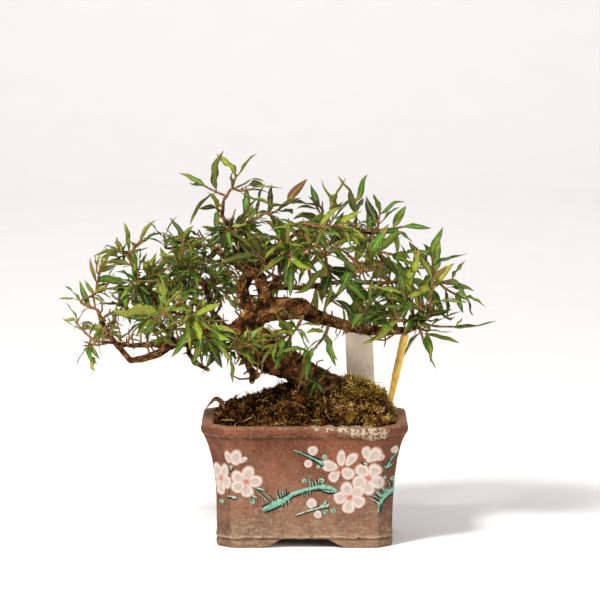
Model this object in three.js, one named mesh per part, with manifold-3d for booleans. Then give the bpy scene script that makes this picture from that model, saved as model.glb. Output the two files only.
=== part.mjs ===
// Asiatic jasmine bonsai in a canted rectangular pot, in millimetres with Z up.
// X runs to the right and Y to the back, seen from the pot's front. The feet stand on Z = 0.
// The tree and pot are laid out round the pot's centre and centred as a whole at the end.
import * as THREE from 'three';
import { mergeVertices } from 'three/addons/utils/BufferGeometryUtils.js';
import Module from 'manifold-3d';

const wasm = await Module();
wasm.setup();

// Clearance that touching pieces keep.
const GAP = 0.3;
// Vertices closer than this are one vertex.
const WELD = 1e-4;

const POT_HEIGHT = 70;
const POT_HALF_WIDTH = 49.5;
const POT_HALF_DEPTH = 35;
const CORNER_CUT = 8;
// The cut corners widen by this share of the side's outward offset.
const CORNER_SPREAD = 0.586;
// The pot's side as heights and outward offsets from the half width and half depth.
const POT_SIDE = [
  [0, 0.2],
  [4.9, 0.6],
  [5.6, -0.6],
  [6.4, 0],
  [28, 0.5],
  [40, 1.5],
  [50, 3],
  [58, 4.9],
  [64.5, 7.4],
  [66, 8.8],
  [69.2, 9],
  [POT_HEIGHT, 8.4],
];
const FLOOR_TOP = 11;
const POT_INSIDE = [
  [FLOOR_TOP, -7],
  [14, -6.4],
  [40, -4.8],
  [58, -1.6],
  [66, 1],
  [POT_HEIGHT, 1.6],
];
const DRAIN_DIAMETER = 12;
const DRAIN_SIDES = 16;
const FOOT_HEIGHT = 4.5;
const FOOT_BAND = 8.5;
// Each side is open below between its feet, under a bracket that narrows upward.
const ARCH_BOTTOM_SHARE = 0.485;
const ARCH_TOP_SHARE = 0.24;
const ARCH_STEPS = 5;

const SCREEN_SIZE = 22;
const SCREEN_THICKNESS = 0.8;
const SCREEN_HOLE = 7;
// How far the holes' middles are from the sheet's own.
const SCREEN_PITCH = 5;

const LABEL_WIDTH = 15.9;
const LABEL_THICKNESS = 0.9;
const LABEL_BOTTOM = 22;
const LABEL_TOP = 121;
const LABEL_POINT = 14;
const LABEL_CORNER = 2.5;
const LABEL_PLACE = [35.5, 25];
const LABEL_LEAN = THREE.MathUtils.degToRad(-2.5);

// Path points here and below are x, y, z and the radius there.
const STAKE = [
  [41.6, 22.4, 38, 1.6],
  [49.3, 8, 78, 1.9],
  [51.8, 3.4, 91, 2.1],
  [52.2, 2.6, 93, 2.5],
  [52.6, 1.8, 95, 2.2],
  [57.2, -6.4, 118, 2.4],
];
const STAKE_SIDES = 8;

const WOOD = {
  trunk: [
    [20, -3, 44, 3],
    [19, -2, 58, 8],
    [17, -2, 70, 11.5],
    [16, -2, 79, 11],
    [13, -3, 87, 10],
    [4, -5, 93, 8.6],
    [-7, -6, 100, 9.5],
    [-20, -6, 107, 11.5],
    [-30, -4, 113, 12],
    [-35, -2, 120, 9.5],
    [-29, 0, 127, 7.5],
    [-24, 0, 132, 7.5],
  ],
  root_right: [[16, -2, 80, 7], [27, -5, 75, 5], [38, -9, 68, 3.2], [46, -12, 58, 1.6]],
  root_front: [[14, -4, 82, 7], [3, -12, 76, 4.6], [-8, -19, 68, 3], [-18, -23, 58, 1.5]],
  right_main: [
    [-29, 0, 129, 6.5],
    [-17, -1, 132, 7.2],
    [-3, -3, 132, 7],
    [7, -4, 128, 5],
    [18, -6, 125, 3.6],
    [32, -8, 121, 3.7],
    [46, -8, 120, 3],
    [58, -6, 120, 2.4],
    [68, -4, 124, 1.6],
  ],
  upper_left_stem: [
    [-28, 1, 130, 6],
    [-35, 3, 137, 4.6],
    [-35, 4, 144, 4],
    [-31, 3, 153, 4.5],
    [-33, 3, 161, 3],
  ],
  upper_right_stem: [[-22, 0, 132, 6], [-23, -3, 141, 4.6], [-25, -1, 150, 4], [-30, 2, 155, 4]],
  apex: [[-31, 3, 156, 2.8], [-37, 2, 166, 2.2], [-41, 0, 177, 1.8], [-47, 0, 185, 1.6], [-46, 2, 194, 1.2]],
  upper_left_branch: [
    [-33, 4, 155, 2.4],
    [-43, 11, 158, 1.9],
    [-54, 15, 167, 1.6],
    [-66, 21, 166, 1.3],
    [-80, 24, 164, 1],
  ],
  mid_right_branch: [
    [-27, 2, 146, 2.8],
    [-14, 12, 143, 2.1],
    [0, 18, 142, 1.8],
    [20, 22, 145, 1.6],
    [42, 24, 144, 1.4],
    [60, 24, 145, 1.2],
    [73, 22, 144, 1],
  ],
  top_right_branch: [
    [-29, 2, 153, 2.6],
    [-18, 6, 157, 2],
    [-4, 8, 165, 1.8],
    [11, 6, 168, 1.6],
    [26, 4, 175, 1.4],
    [42, 2, 175, 1.1],
  ],
  top_front_branch: [[-28, -2, 151, 2.2], [-19, -13, 162, 1.8], [-8, -22, 175, 1.5], [0, -26, 183, 1.1]],
  left_main: [
    [-32, -4, 117, 7.5],
    [-45, -8, 120, 4.6],
    [-57, -10, 119, 3.7],
    [-66, -12, 115, 3.3],
    [-75, -12, 114, 3.5],
    [-83, -12, 108, 2.9],
    [-92, -12, 105, 2.3],
    [-99, -12, 104, 2.1],
    [-106, -12, 112, 1.9],
    [-113, -10, 121, 1.6],
    [-118, -8, 133, 1.2],
  ],
  left_second: [
    [-75, -12, 112, 2.6],
    [-86, -18, 114, 2],
    [-98, -24, 114, 1.7],
    [-108, -26, 116, 1.4],
    [-117, -28, 117, 1],
  ],
  left_up_outer: [
    [-73, -12, 114, 2.6],
    [-82, -6, 124, 1.8],
    [-86, 0, 138, 1.5],
    [-95, 2, 149, 1.3],
    [-100, 2, 161, 1],
  ],
  left_up_inner: [[-62, -10, 117, 2.4], [-69, -2, 129, 1.7], [-68, 4, 144, 1.4], [-71, 6, 158, 1.1]],
  left_back: [[-45, -6, 121, 3], [-53, 10, 129, 2], [-57, 24, 140, 1.6], [-63, 34, 148, 1.2]],
  left_front: [[-53, -10, 119, 2.5], [-57, -26, 126, 1.8], [-65, -37, 132, 1.5], [-75, -46, 136, 1.1]],
  back_branch: [[-24, 4, 137, 3], [-19, 22, 143, 2.1], [-8, 38, 150, 1.7], [3, 50, 153, 1.2]],
  low_stub: [[-65, -12, 115, 2.2], [-66, -12, 108, 1.8], [-61, -12, 102, 1.7], [-54, -12, 98, 1.4]],
  basal_spur: [[-33, -10, 107, 2.8], [-32, -14, 101, 2.2], [-29, -16, 97, 2.8], [-26, -16, 95, 2.5]],
  basal_knob: [[-29, -16, 98, 2.2], [-30, -16, 94, 2], [-30, -16, 91, 1.9]],
};
const TRUNK_SIDES = 10;
const LIMB_SIDES = 6;
const LIMB_RADIUS = 3.1;
const BRANCH_SIDES = 5;
// How far bark lumps change the radius, as a share of it.
const BARK_ROUGHNESS = 0.26;
// A blunt end stands out by this share of its radius.
const END_BULGE = 0.4;

// Leafy shoots by the node that holds them: x, y, z of the twig's tip, leaf pairs, leaf length.
// The first shoot of a node grows from the nearest wood, and the others fork from its twig.
const SHOOTS = {
  left_tip: [[-128, -8, 138, 3, 17], [-116, -4, 154, 3, 16]],
  left_low_tip: [[-129, -22, 127, 2, 15], [-122, -30, 114, 2, 15]],
  left_under: [[-118, 14, 119, 3, 16]],
  left_crest_1: [[-105, 6, 164, 3, 17], [-93, -6, 172, 3, 18]],
  left_crest_2: [[-81, 22, 172, 3, 17]],
  left_crest_3: [[-69, 6, 172, 3, 17], [-60, 26, 169, 3, 17]],
  left_inner_1: [[-97, -22, 148, 3, 18]],
  left_inner_2: [[-88, 18, 151, 3, 18], [-106, 10, 130, 3, 17]],
  left_inner_3: [[-75, -12, 149, 3, 18]],
  left_inner_4: [[-65, -14, 160, 3, 18], [-56, 12, 158, 2, 18]],
  left_back_1: [[-74, 40, 157, 3, 17]],
  left_back_2: [[-56, 42, 143, 3, 18], [-46, 44, 154, 3, 18], [-40, 46, 136, 2, 20]],
  left_back_3: [[-90, 34, 129, 2, 18], [-84, 48, 142, 3, 18]],
  left_front_1: [[-87, -44, 132, 3, 28], [-77, -34, 141, 3, 18]],
  left_front_2: [[-61, -48, 133, 3, 24]],
  left_middle: [[-62, 6, 136, 3, 18]],
  low_left_1: [[-54, -40, 119, 3, 22]],
  low_left_2: [[-43, -30, 111, 3, 20], [-30, -34, 116, 3, 20]],
  apex_1: [[-39, -2, 208, 2, 22], [-56, -2, 202, 2, 22], [-31, 4, 200, 2, 22]],
  apex_2: [[-50, -12, 191, 3, 17]],
  apex_3: [[-33, 8, 185, 3, 24]],
  apex_4: [[-44, -16, 178, 3, 18]],
  apex_5: [[-37, 26, 176, 3, 18]],
  apex_6: [[-31, -12, 169, 3, 24]],
  top_1: [[-21, 4, 187, 3, 20], [-9, 10, 192, 3, 20]],
  top_2: [[-3, -30, 182, 3, 20]],
  top_3: [[7, 12, 189, 3, 20], [17, -2, 194, 3, 19]],
  top_4: [[29, 10, 193, 3, 20]],
  top_5: [[20, -22, 182, 3, 21]],
  top_6: [[9, -38, 175, 3, 22]],
  top_7: [[-18, -31, 176, 3, 20], [-8, -38, 163, 3, 26]],
  top_8: [[43, 2, 187, 3, 19], [56, 10, 178, 3, 19]],
  top_9: [[38, 28, 173, 3, 19]],
  top_10: [[40, -18, 164, 3, 24], [56, -10, 163, 3, 20]],
  top_11: [[25, -28, 162, 3, 26]],
  right_1: [[73, 12, 161, 3, 22]],
  right_2: [[84, 6, 146, 3, 20], [92, 16, 136, 3, 16]],
  right_3: [[72, -20, 150, 3, 24]],
  right_4: [[56, -24, 149, 3, 26]],
  right_5: [[81, 0, 130, 3, 18], [84, -10, 123, 1, 30]],
  right_6: [[68, 2, 114, 2, 22], [71, -18, 122, 2, 20]],
  right_7: [[48, 14, 134, 3, 22]],
  right_8: [[35, -22, 137, 3, 21]],
  right_9: [[24, 8, 143, 3, 22]],
  right_10: [[61, -18, 137, 3, 20], [49, -16, 129, 2, 19]],
  right_11: [[14, -8, 152, 3, 26]],
  back_1: [[-3, 46, 167, 3, 20], [-26, 40, 162, 2, 20], [-14, 54, 141, 2, 20]],
  back_2: [[21, 48, 162, 3, 20], [44, 50, 149, 2, 20]],
  back_3: [[9, 50, 137, 3, 20], [28, 42, 125, 2, 20]],
  back_4: [[65, 40, 152, 3, 19], [57, 42, 134, 2, 20]],
  centre_1: [[-5, -34, 124, 3, 20], [-16, -34, 116, 3, 20]],
  centre_2: [[10, -20, 117, 2, 20], [2, -30, 111, 2, 24]],
  centre_3: [[6, -20, 92, 2, 15]],
};
const TWIG_SIDES = 4;
const TWIG_STEPS = 2;
const TWIG_ROOT_RADIUS = 0.85;
const TWIG_TIP_RADIUS = 0.55;
const BUD_LENGTH = 1.4;
const TWIG_SAG = 0.1;
const TWIG_SWAY = 0.1;
const TWIG_TRIES = 24;
// Each later try may end this much further from its place, along each axis.
const TWIG_STRAY = 0.4;
// A fork may start anywhere on this stretch of the first twig.
const FORK_RANGE = [0.2, 0.85];
// A fork nearer to the first twig's root is preferred by this share of the way out to it.
const FORK_COST = 0.35;
const FORK_SAMPLES = 20;
// Shoots grow from wood above this height, at the nearest of this many points on each span.
const GROWTH_FLOOR = 88;
const WOOD_SAMPLES = 6;

const INTERNODE = 6;
const FIRST_NODE = 0.8;
// From the tip down, each pair stands further off the twig and turns a right angle on the last.
const PAIR_LEAN = [30, 48, 62];
const PAIR_LENGTH = [0.85, 1, 1];
const LEAN_SPREAD = 7;
const TURN_SPREAD = 20;
const LEAF_TRIES = 12;
const LEAF_BEND = [0.02, 0.2];
const LEAF_HALF_WIDTH = 0.12;
// A blade's stations: share of its length, share of its half width, depth of its midrib.
const BLADE = [
  [0.36, 1, 0.75],
  [0.7, 0.64, 0.64],
];
// Leaves look at the light, and lean a little to the twig's tip.
const FACE_TO_TIP = 0.45;
const FACE_SPREAD = 0.35;

// The moss's ridge from left to right: x and height.
const MOSS_RIDGE = [
  [-52, 75],
  [-38, 81],
  [-29, 84],
  [-20, 86],
  [-12, 90],
  [-4, 90],
  [6, 88],
  [14, 89],
  [21, 92],
  [28, 93],
  [36, 90],
  [44, 86],
  [52, 76],
];
const MOSS_EDGE = 68.5;
const MOSS_CURVE = 2.2;
const MOSS_THICKNESS = 4.4;
const MOSS_LUMP = 1.8;
const MOSS_CELLS = [12, 8];
const SOIL_CELLS = [6, 4];
const MOUND_HALF_WIDTH = 53.5;
const MOUND_HALF_DEPTH = 37.8;

const COLOURS = {
  clay: new THREE.Color(0x7a4d3a),
  soil: new THREE.Color(0x33261c),
  moss: new THREE.Color(0x55582a),
  bark: new THREE.Color(0x6b513c),
  leaf: new THREE.Color(0x3f6b2a),
  bamboo: new THREE.Color(0xa8905a),
  label: new THREE.Color(0xe6e0cc),
  screen: new THREE.Color(0x2b2b2b),
};

// A repeatable number from 0 to 1 for a set of whole numbers.
function draw(...keys) {
  let mixed = 2166136261;
  for (const key of keys) {
    mixed = Math.imul(mixed ^ key, 16777619);
  }
  mixed ^= mixed >>> 13;
  mixed = Math.imul(mixed, 0x5bd1e995);
  mixed ^= mixed >>> 15;
  return (mixed >>> 0) / 4294967296;
}

function between(low, high, share) {
  return low + (high - low) * share;
}

function heightOnLine(line, x) {
  const after = Math.min(Math.max(line.findIndex((point) => point[0] > x), 1), line.length - 1);
  const last = x >= line.at(-1)[0] ? line.length - 1 : after;
  const [x0, z0] = line[last - 1];
  const [x1, z1] = line[last];
  return between(z0, z1, THREE.MathUtils.clamp((x - x0) / (x1 - x0), 0, 1));
}

function toSolid(points, triangles) {
  const vertProperties = new Float32Array(points.flatMap((point) => point.toArray()));
  const triVerts = new Uint32Array(triangles);
  return new wasm.Manifold(new wasm.Mesh({ numProp: 3, vertProperties, triVerts }));
}

function geometrySolid(geometry) {
  geometry.deleteAttribute('normal');
  geometry.deleteAttribute('uv');
  const merged = mergeVertices(geometry, WELD);
  const vertProperties = new Float32Array(merged.attributes.position.array);
  const triVerts = new Uint32Array(merged.index.array);
  return new wasm.Manifold(new wasm.Mesh({ numProp: 3, vertProperties, triVerts }));
}

function joined(solids) {
  return solids.reduce((whole, solid) => whole.add(solid));
}

function largestBody(solid) {
  return solid.decompose().reduce((best, body) => (body.volume() > best.volume() ? body : best));
}

// A closed skin over rings of equal point counts, turning left as they go from start to end.
function loft(rings, start, end) {
  const count = rings[0].length;
  const points = [start, ...rings.flat(), end];
  const triangles = [];
  const lastRing = 1 + (rings.length - 1) * count;
  for (let side = 0; side < count; side += 1) {
    const next = (side + 1) % count;
    triangles.push(0, 1 + next, 1 + side);
    for (let ring = 1; ring < lastRing; ring += count) {
      triangles.push(ring + side, ring + next, ring + next + count);
      triangles.push(ring + side, ring + next + count, ring + side + count);
    }
    triangles.push(lastRing + side, lastRing + next, points.length - 1);
  }
  return toSolid(points, triangles);
}

function perpendicular(direction, wanted) {
  const across = wanted.clone().addScaledVector(direction, -wanted.dot(direction));
  const usable = across.lengthSq() > 1e-6;
  return usable ? across.normalize() : perpendicular(direction, new THREE.Vector3(1, 0, 0));
}

// Points and radii along a path, with the given number of steps from one point to the next.
function smoothPath(path, steps) {
  const curve = new THREE.CatmullRomCurve3(path.map(([x, y, z]) => new THREE.Vector3(x, y, z)));
  const total = (path.length - 1) * steps;
  const stations = [];
  for (let step = 0; step <= total; step += 1) {
    const span = Math.min(Math.floor(step / steps), path.length - 2);
    const radius = between(path[span][3], path[span + 1][3], step / steps - span);
    stations.push({ point: curve.getPoint(step / total), tangent: curve.getTangent(step / total), radius });
  }
  return stations;
}

// A bent round bar through the stations. It can be grown all over, and its ends stand out by a bulge.
function sweep(stations, sides, { grow = 0, roughness = 0, seed = 0, bulge = null } = {}) {
  let normal = new THREE.Vector3(0, 1, 0);
  const skin = grow / Math.cos(Math.PI / sides);
  const rings = stations.map(({ point, tangent, radius }, index) => {
    normal = perpendicular(tangent, normal);
    const side = new THREE.Vector3().crossVectors(tangent, normal);
    const shift = index === 0 ? -grow : Number(index === stations.length - 1) * grow;
    const centre = point.clone().addScaledVector(tangent, shift);
    return Array.from({ length: sides }, (_, corner) => {
      const angle = 2 * Math.PI * corner / sides;
      const lump = 1 + roughness * (draw(seed, index, corner) - 0.5);
      const reach = radius * lump + skin;
      return centre.clone()
        .addScaledVector(normal, reach * Math.cos(angle))
        .addScaledVector(side, reach * Math.sin(angle));
    });
  });
  const first = stations[0];
  const last = stations.at(-1);
  const start = first.point.clone().addScaledVector(first.tangent, -grow - END_BULGE * first.radius);
  const end = last.point.clone().addScaledVector(last.tangent, grow + (bulge ?? END_BULGE * last.radius));
  return loft(rings, start, end);
}

function flatCappedRings(rings) {
  const middle = (ring) => new THREE.Vector3(0, 0, ring[0].z);
  return loft(rings, middle(rings[0]), middle(rings.at(-1)));
}

// The pot's outline at one height: a rectangle with cut corners.
function cantedRing(height, offset) {
  const x = POT_HALF_WIDTH + offset;
  const y = POT_HALF_DEPTH + offset;
  const cut = CORNER_CUT + CORNER_SPREAD * offset;
  const corners = [[x, cut - y], [x, y - cut], [x - cut, y], [cut - x, y]];
  return [...corners, ...corners.map(([cornerX, cornerY]) => [-cornerX, -cornerY])]
    .map(([cornerX, cornerY]) => new THREE.Vector3(cornerX, cornerY, height));
}

// An outline in X and Z, run the given depth along Y, half to each side.
function extrudeAlongY(shape, depth) {
  const geometry = new THREE.ExtrudeGeometry(shape, { depth, bevelEnabled: false, curveSegments: 4 });
  return geometry.translate(0, 0, -depth / 2).rotateX(Math.PI / 2);
}

function block(width, depth, bottom, top) {
  return new THREE.BoxGeometry(width, depth, top - bottom).translate(0, 0, (top + bottom) / 2);
}

// The bracket-shaped opening under one side, with the side's half length as its measure.
function footArch(halfLength, depth) {
  const outline = [];
  for (let step = 0; step <= ARCH_STEPS; step += 1) {
    const share = step / ARCH_STEPS;
    const reach = halfLength * between(ARCH_BOTTOM_SHARE, ARCH_TOP_SHARE, share);
    const height = FOOT_HEIGHT * (1 - Math.cos(Math.PI * share)) / 2;
    outline.push(new THREE.Vector2(reach, height));
  }
  const below = new THREE.Vector2(outline[0].x, -1);
  const right = [below, ...outline];
  const left = right.map(({ x, y }) => new THREE.Vector2(-x, y)).reverse();
  return extrudeAlongY(new THREE.Shape([...right, ...left]), depth);
}

function buildPot() {
  const outside = flatCappedRings(POT_SIDE.map(([height, offset]) => cantedRing(height, offset)));
  const lip = POT_INSIDE.at(-1)[1];
  const inside = flatCappedRings([
    ...POT_INSIDE.map(([height, offset]) => cantedRing(height, offset)),
    cantedRing(POT_HEIGHT + 1, lip),
  ]);
  const drainRadius = DRAIN_DIAMETER / 2;
  const drain = new THREE.CylinderGeometry(drainRadius, drainRadius, 2 * FLOOR_TOP, DRAIN_SIDES)
    .rotateX(Math.PI / 2)
    .translate(0, 0, FLOOR_TOP);
  const recess = block(2 * (POT_HALF_WIDTH - FOOT_BAND), 2 * (POT_HALF_DEPTH - FOOT_BAND), -1, FOOT_HEIGHT);
  const frontArch = footArch(POT_HALF_WIDTH, 3 * POT_HALF_DEPTH);
  const sideArch = footArch(POT_HALF_DEPTH, 3 * POT_HALF_WIDTH).rotateZ(Math.PI / 2);
  const openings = [drain, recess, frontArch, sideArch].map(geometrySolid);
  return openings.reduce((pot, opening) => pot.subtract(opening), outside.subtract(inside));
}

// The room in the pot that soil and moss fill, clear of its wall, run on upward above the rim.
function buildPocket() {
  const lip = POT_INSIDE.at(-1)[1] - GAP;
  const rings = POT_INSIDE.map(([height, offset]) => cantedRing(height + GAP, offset - GAP));
  return flatCappedRings([...rings, cantedRing(2 * POT_HEIGHT, lip)]);
}

function buildScreen() {
  const bottom = FLOOR_TOP + GAP;
  let sheet = geometrySolid(block(SCREEN_SIZE, SCREEN_SIZE, bottom, bottom + SCREEN_THICKNESS));
  for (const column of [-1, 1]) {
    for (const row of [-1, 1]) {
      const hole = block(SCREEN_HOLE, SCREEN_HOLE, 0, 2 * FLOOR_TOP);
      sheet = sheet.subtract(geometrySolid(hole.translate(column * SCREEN_PITCH, row * SCREEN_PITCH, 0)));
    }
  }
  return sheet;
}

function screenRoom() {
  const top = FLOOR_TOP + 2 * GAP + SCREEN_THICKNESS;
  return geometrySolid(block(SCREEN_SIZE + 2 * GAP, SCREEN_SIZE + 2 * GAP, FLOOR_TOP - 1, top));
}

function buildLabel(grow) {
  const half = LABEL_WIDTH / 2 + grow;
  const top = LABEL_TOP - LABEL_BOTTOM + grow;
  const outline = [
    [0, -2 * grow],
    [half, LABEL_POINT],
    [half, top - LABEL_CORNER],
    [half - LABEL_CORNER, top],
    [LABEL_CORNER - half, top],
    [-half, top - LABEL_CORNER],
    [-half, LABEL_POINT],
  ];
  const shape = new THREE.Shape(outline.map(([x, z]) => new THREE.Vector2(x, z)));
  const geometry = extrudeAlongY(shape, LABEL_THICKNESS + 2 * grow).rotateY(LABEL_LEAN);
  return geometrySolid(geometry.translate(...LABEL_PLACE, LABEL_BOTTOM));
}

function buildStake(grow) {
  return sweep(smoothPath(STAKE, 1), STAKE_SIDES, { grow });
}

function buildWood(grow) {
  const limbs = Object.values(WOOD).map((path, seed) => {
    const stations = smoothPath(path, 1);
    const thin = path[0][3] > LIMB_RADIUS ? LIMB_SIDES : BRANCH_SIDES;
    return sweep(stations, seed === 0 ? TRUNK_SIDES : thin, { grow, roughness: BARK_ROUGHNESS, seed });
  });
  return joined(limbs);
}

function mossHeight(x, y) {
  const ridge = heightOnLine(MOSS_RIDGE, x);
  const slope = 1 - Math.abs(y / MOUND_HALF_DEPTH) ** MOSS_CURVE;
  const inside = Math.abs(x) < MOUND_HALF_WIDTH ? slope : 0;
  return MOSS_EDGE + (ridge - MOSS_EDGE) * inside;
}

// A block from the floor up to a surface of heights over a grid of cells.
function mound([columns, rows], heightAt) {
  const top = [];
  for (let row = 0; row <= rows; row += 1) {
    for (let column = 0; column <= columns; column += 1) {
      const x = MOUND_HALF_WIDTH * (2 * column / columns - 1);
      const y = MOUND_HALF_DEPTH * (2 * row / rows - 1);
      top.push(new THREE.Vector3(x, y, heightAt(x, y, column, row)));
    }
  }
  const bottom = top.map(({ x, y }) => new THREE.Vector3(x, y, 0));
  const width = columns + 1;
  const under = top.length;
  const triangles = [];
  for (let row = 0; row < rows; row += 1) {
    for (let column = 0; column < columns; column += 1) {
      const near = row * width + column;
      const far = near + width;
      triangles.push(near, near + 1, far + 1);
      triangles.push(near, far + 1, far);
      triangles.push(under + near, under + far + 1, under + near + 1);
      triangles.push(under + near, under + far, under + far + 1);
    }
  }
  const wall = (from, to) => triangles.push(from, under + from, under + to, from, under + to, to);
  for (let column = 0; column < columns; column += 1) {
    wall(column, column + 1);
    wall(rows * width + column + 1, rows * width + column);
  }
  for (let row = 0; row < rows; row += 1) {
    wall(row * width + columns, (row + 1) * width + columns);
    wall((row + 1) * width, row * width);
  }
  return toSolid([...top, ...bottom], triangles);
}

// A bent twig from its root to its tip. Later tries sway it more to either side.
function twigCurve(root, tip, shoot, attempt) {
  const length = root.distanceTo(tip);
  const middle = root.clone().lerp(tip, 0.5);
  middle.z -= TWIG_SAG * length;
  const sway = TWIG_SWAY * (1 + attempt / 2) * length;
  middle.x += sway * (2 * draw(shoot, attempt, 1) - 1);
  middle.y += sway * (2 * draw(shoot, attempt, 2) - 1);
  middle.z += sway * (2 * draw(shoot, attempt, 3) - 1);
  return new THREE.QuadraticBezierCurve3(root, middle, tip);
}

function twigSolid(curve) {
  const stations = Array.from({ length: TWIG_STEPS + 1 }, (_, step) => {
    const share = step / TWIG_STEPS;
    return {
      point: curve.getPoint(share),
      tangent: curve.getTangent(share),
      radius: between(TWIG_ROOT_RADIUS, TWIG_TIP_RADIUS, share),
    };
  });
  return sweep(stations, TWIG_SIDES, { bulge: BUD_LENGTH });
}

// Where one leaf grows and how it lies. Later tries turn it further and make it a little shorter.
function leafPose(shoot, pair, side, attempt) {
  const key = 2 * pair + side;
  const pick = (what, range) => range * (2 * draw(shoot.index, key, attempt, what) - 1);
  const along = 1 - (FIRST_NODE + pair * INTERNODE) / shoot.curve.getLength();
  if (along < 0) {
    return null;
  }
  const base = shoot.curve.getPoint(along);
  const tangent = shoot.curve.getTangent(along);
  const widen = 1 + attempt / 3;
  const turnDegrees = 90 * pair + 180 * side + pick(1, TURN_SPREAD) * widen;
  const turn = shoot.turn + THREE.MathUtils.degToRad(turnDegrees);
  const lean = THREE.MathUtils.degToRad(PAIR_LEAN[pair] + pick(2, LEAN_SPREAD) * widen);
  const first = perpendicular(tangent, new THREE.Vector3(0, 0, 1));
  const second = new THREE.Vector3().crossVectors(tangent, first);
  const direction = tangent.clone().multiplyScalar(Math.cos(lean))
    .addScaledVector(first, Math.sin(lean) * Math.cos(turn))
    .addScaledVector(second, Math.sin(lean) * Math.sin(turn));
  const light = new THREE.Vector3(pick(3, FACE_SPREAD), pick(4, FACE_SPREAD), 1);
  const upper = perpendicular(direction, light.addScaledVector(tangent, FACE_TO_TIP));
  const size = 1 - attempt / (3 * LEAF_TRIES);
  const length = shoot.leafLength * PAIR_LENGTH[pair] * size * (1 + pick(5, 0.1));
  const bend = between(...LEAF_BEND, draw(shoot.index, key, attempt, 6));
  return { base, direction, upper, length, bend };
}

function bladeAxis({ base, direction, upper, length, bend }, share) {
  return base.clone()
    .addScaledVector(direction, length * share)
    .addScaledVector(upper, -bend * length * share ** 2);
}

// A thin blade with a keel for its midrib. It starts at its base, or at its widest section.
function bladeSolid(pose, fromBase) {
  const side = new THREE.Vector3().crossVectors(pose.direction, pose.upper);
  const rings = BLADE.map(([share, width, depth]) => {
    const centre = bladeAxis(pose, share);
    const run = pose.direction.clone().addScaledVector(pose.upper, -2 * pose.bend * share).normalize();
    const up = new THREE.Vector3().crossVectors(side, run);
    const reach = LEAF_HALF_WIDTH * pose.length * width;
    return [
      centre.clone().addScaledVector(side, reach),
      centre.clone().addScaledVector(up, -depth),
      centre.clone().addScaledVector(side, -reach),
    ];
  });
  return loft(rings, bladeAxis(pose, fromBase ? 0 : BLADE[0][0]), bladeAxis(pose, 1));
}

// Everything already in place, so that later pieces are bent clear of it.
const placed = [];

function place(solid, node, kind, free = solid) {
  placed.push({ solid, free, node, kind, box: solid.boundingBox() });
}

function boxesMeet(one, other) {
  const meet = (axis) => one.min[axis] - GAP < other.max[axis] && other.min[axis] - GAP < one.max[axis];
  return meet(0) && meet(1) && meet(2);
}

function apart(one, other) {
  return one.minGap(other, 2 * GAP) > GAP;
}

// A twig is clear of everything outside its own node.
function twigClears(solid, node) {
  const box = solid.boundingBox();
  return placed
    .filter((other) => other.node !== node && boxesMeet(box, other.box))
    .every((other) => apart(solid, other.solid));
}

// A leaf is clear of all other nodes, and outside its root of its own node's twigs and leaves too.
function leafClears(solid, free, node) {
  const box = solid.boundingBox();
  return placed.filter((other) => boxesMeet(box, other.box)).every((other) => {
    if (other.node !== node) {
      return apart(solid, other.solid);
    }
    return apart(free, other.solid) && (other.kind !== 'leaf' || apart(solid, other.free));
  });
}

function nearest(points, target, cost = () => 0) {
  return points.reduce((best, point) => {
    const price = point.distanceTo(target) + cost(point);
    return price < best.price ? { point, price } : best;
  }, { point: null, price: Infinity }).point;
}

const pot = buildPot();
const screen = buildScreen();
const wood = buildWood(0);
const woodRoom = buildWood(GAP);
const label = buildLabel(0);
const stake = largestBody(buildStake(0).subtract(woodRoom));
const pocket = buildPocket();
const holes = joined([woodRoom, buildLabel(GAP), buildStake(GAP)]);
const soilTop = (x, y) => mossHeight(x, y) - MOSS_THICKNESS;
const soilMound = mound(SOIL_CELLS, soilTop);
const soil = largestBody(soilMound.intersect(pocket).subtract(holes).subtract(screenRoom()));
const mossLumps = (x, y, column, row) => mossHeight(x, y) + MOSS_LUMP * (draw(column, row) - 0.5);
const mossBed = mound(SOIL_CELLS, (x, y) => soilTop(x, y) + GAP);
const moss = largestBody(mound(MOSS_CELLS, mossLumps).intersect(pocket).subtract(mossBed).subtract(holes));

place(pot, 'pot', 'holder');
place(moss, 'moss', 'holder');
place(label, 'label', 'holder');
place(stake, 'stake', 'holder');

const woodPoints = Object.values(WOOD)
  .flatMap((path) => smoothPath(path, WOOD_SAMPLES).map((station) => station.point))
  .filter((point) => point.z > GROWTH_FLOOR);

const shoots = [];

function forkPoint(first, tip) {
  const [start, end] = FORK_RANGE;
  const points = first.curve.getPoints(FORK_SAMPLES).slice(FORK_SAMPLES * start, FORK_SAMPLES * end);
  return nearest(points, tip, (point) => FORK_COST * point.distanceTo(first.curve.v0));
}

// The twig of one shoot, from wood or from the node's first twig, or nothing where no try is clear.
function growTwig(node, [x, y, z, pairs, leafLength], first) {
  const index = shoots.length;
  for (let attempt = 0; attempt < TWIG_TRIES; attempt += 1) {
    const stray = (what) => attempt * TWIG_STRAY * (2 * draw(index, attempt, what) - 1);
    const tip = new THREE.Vector3(x + stray(4), y + stray(5), z + stray(6));
    const root = first ? forkPoint(first, tip) : nearest(woodPoints, tip);
    const curve = twigCurve(root, tip, index, attempt);
    const solid = largestBody(twigSolid(curve).subtract(woodRoom));
    const grown = first ? solid.add(first.solid) : solid;
    if (grown.decompose().length === 1 && twigClears(solid, node)) {
      const shoot = { node, index, curve, solid, pairs, leafLength, turn: 2 * Math.PI * draw(index, 7) };
      shoots.push(shoot);
      place(solid, node, 'twig');
      return shoot;
    }
  }
  return null;
}

for (const [node, rows] of Object.entries(SHOOTS)) {
  let first = null;
  for (const row of rows) {
    const shoot = growTwig(node, row, first);
    first ??= shoot;
  }
}

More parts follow.
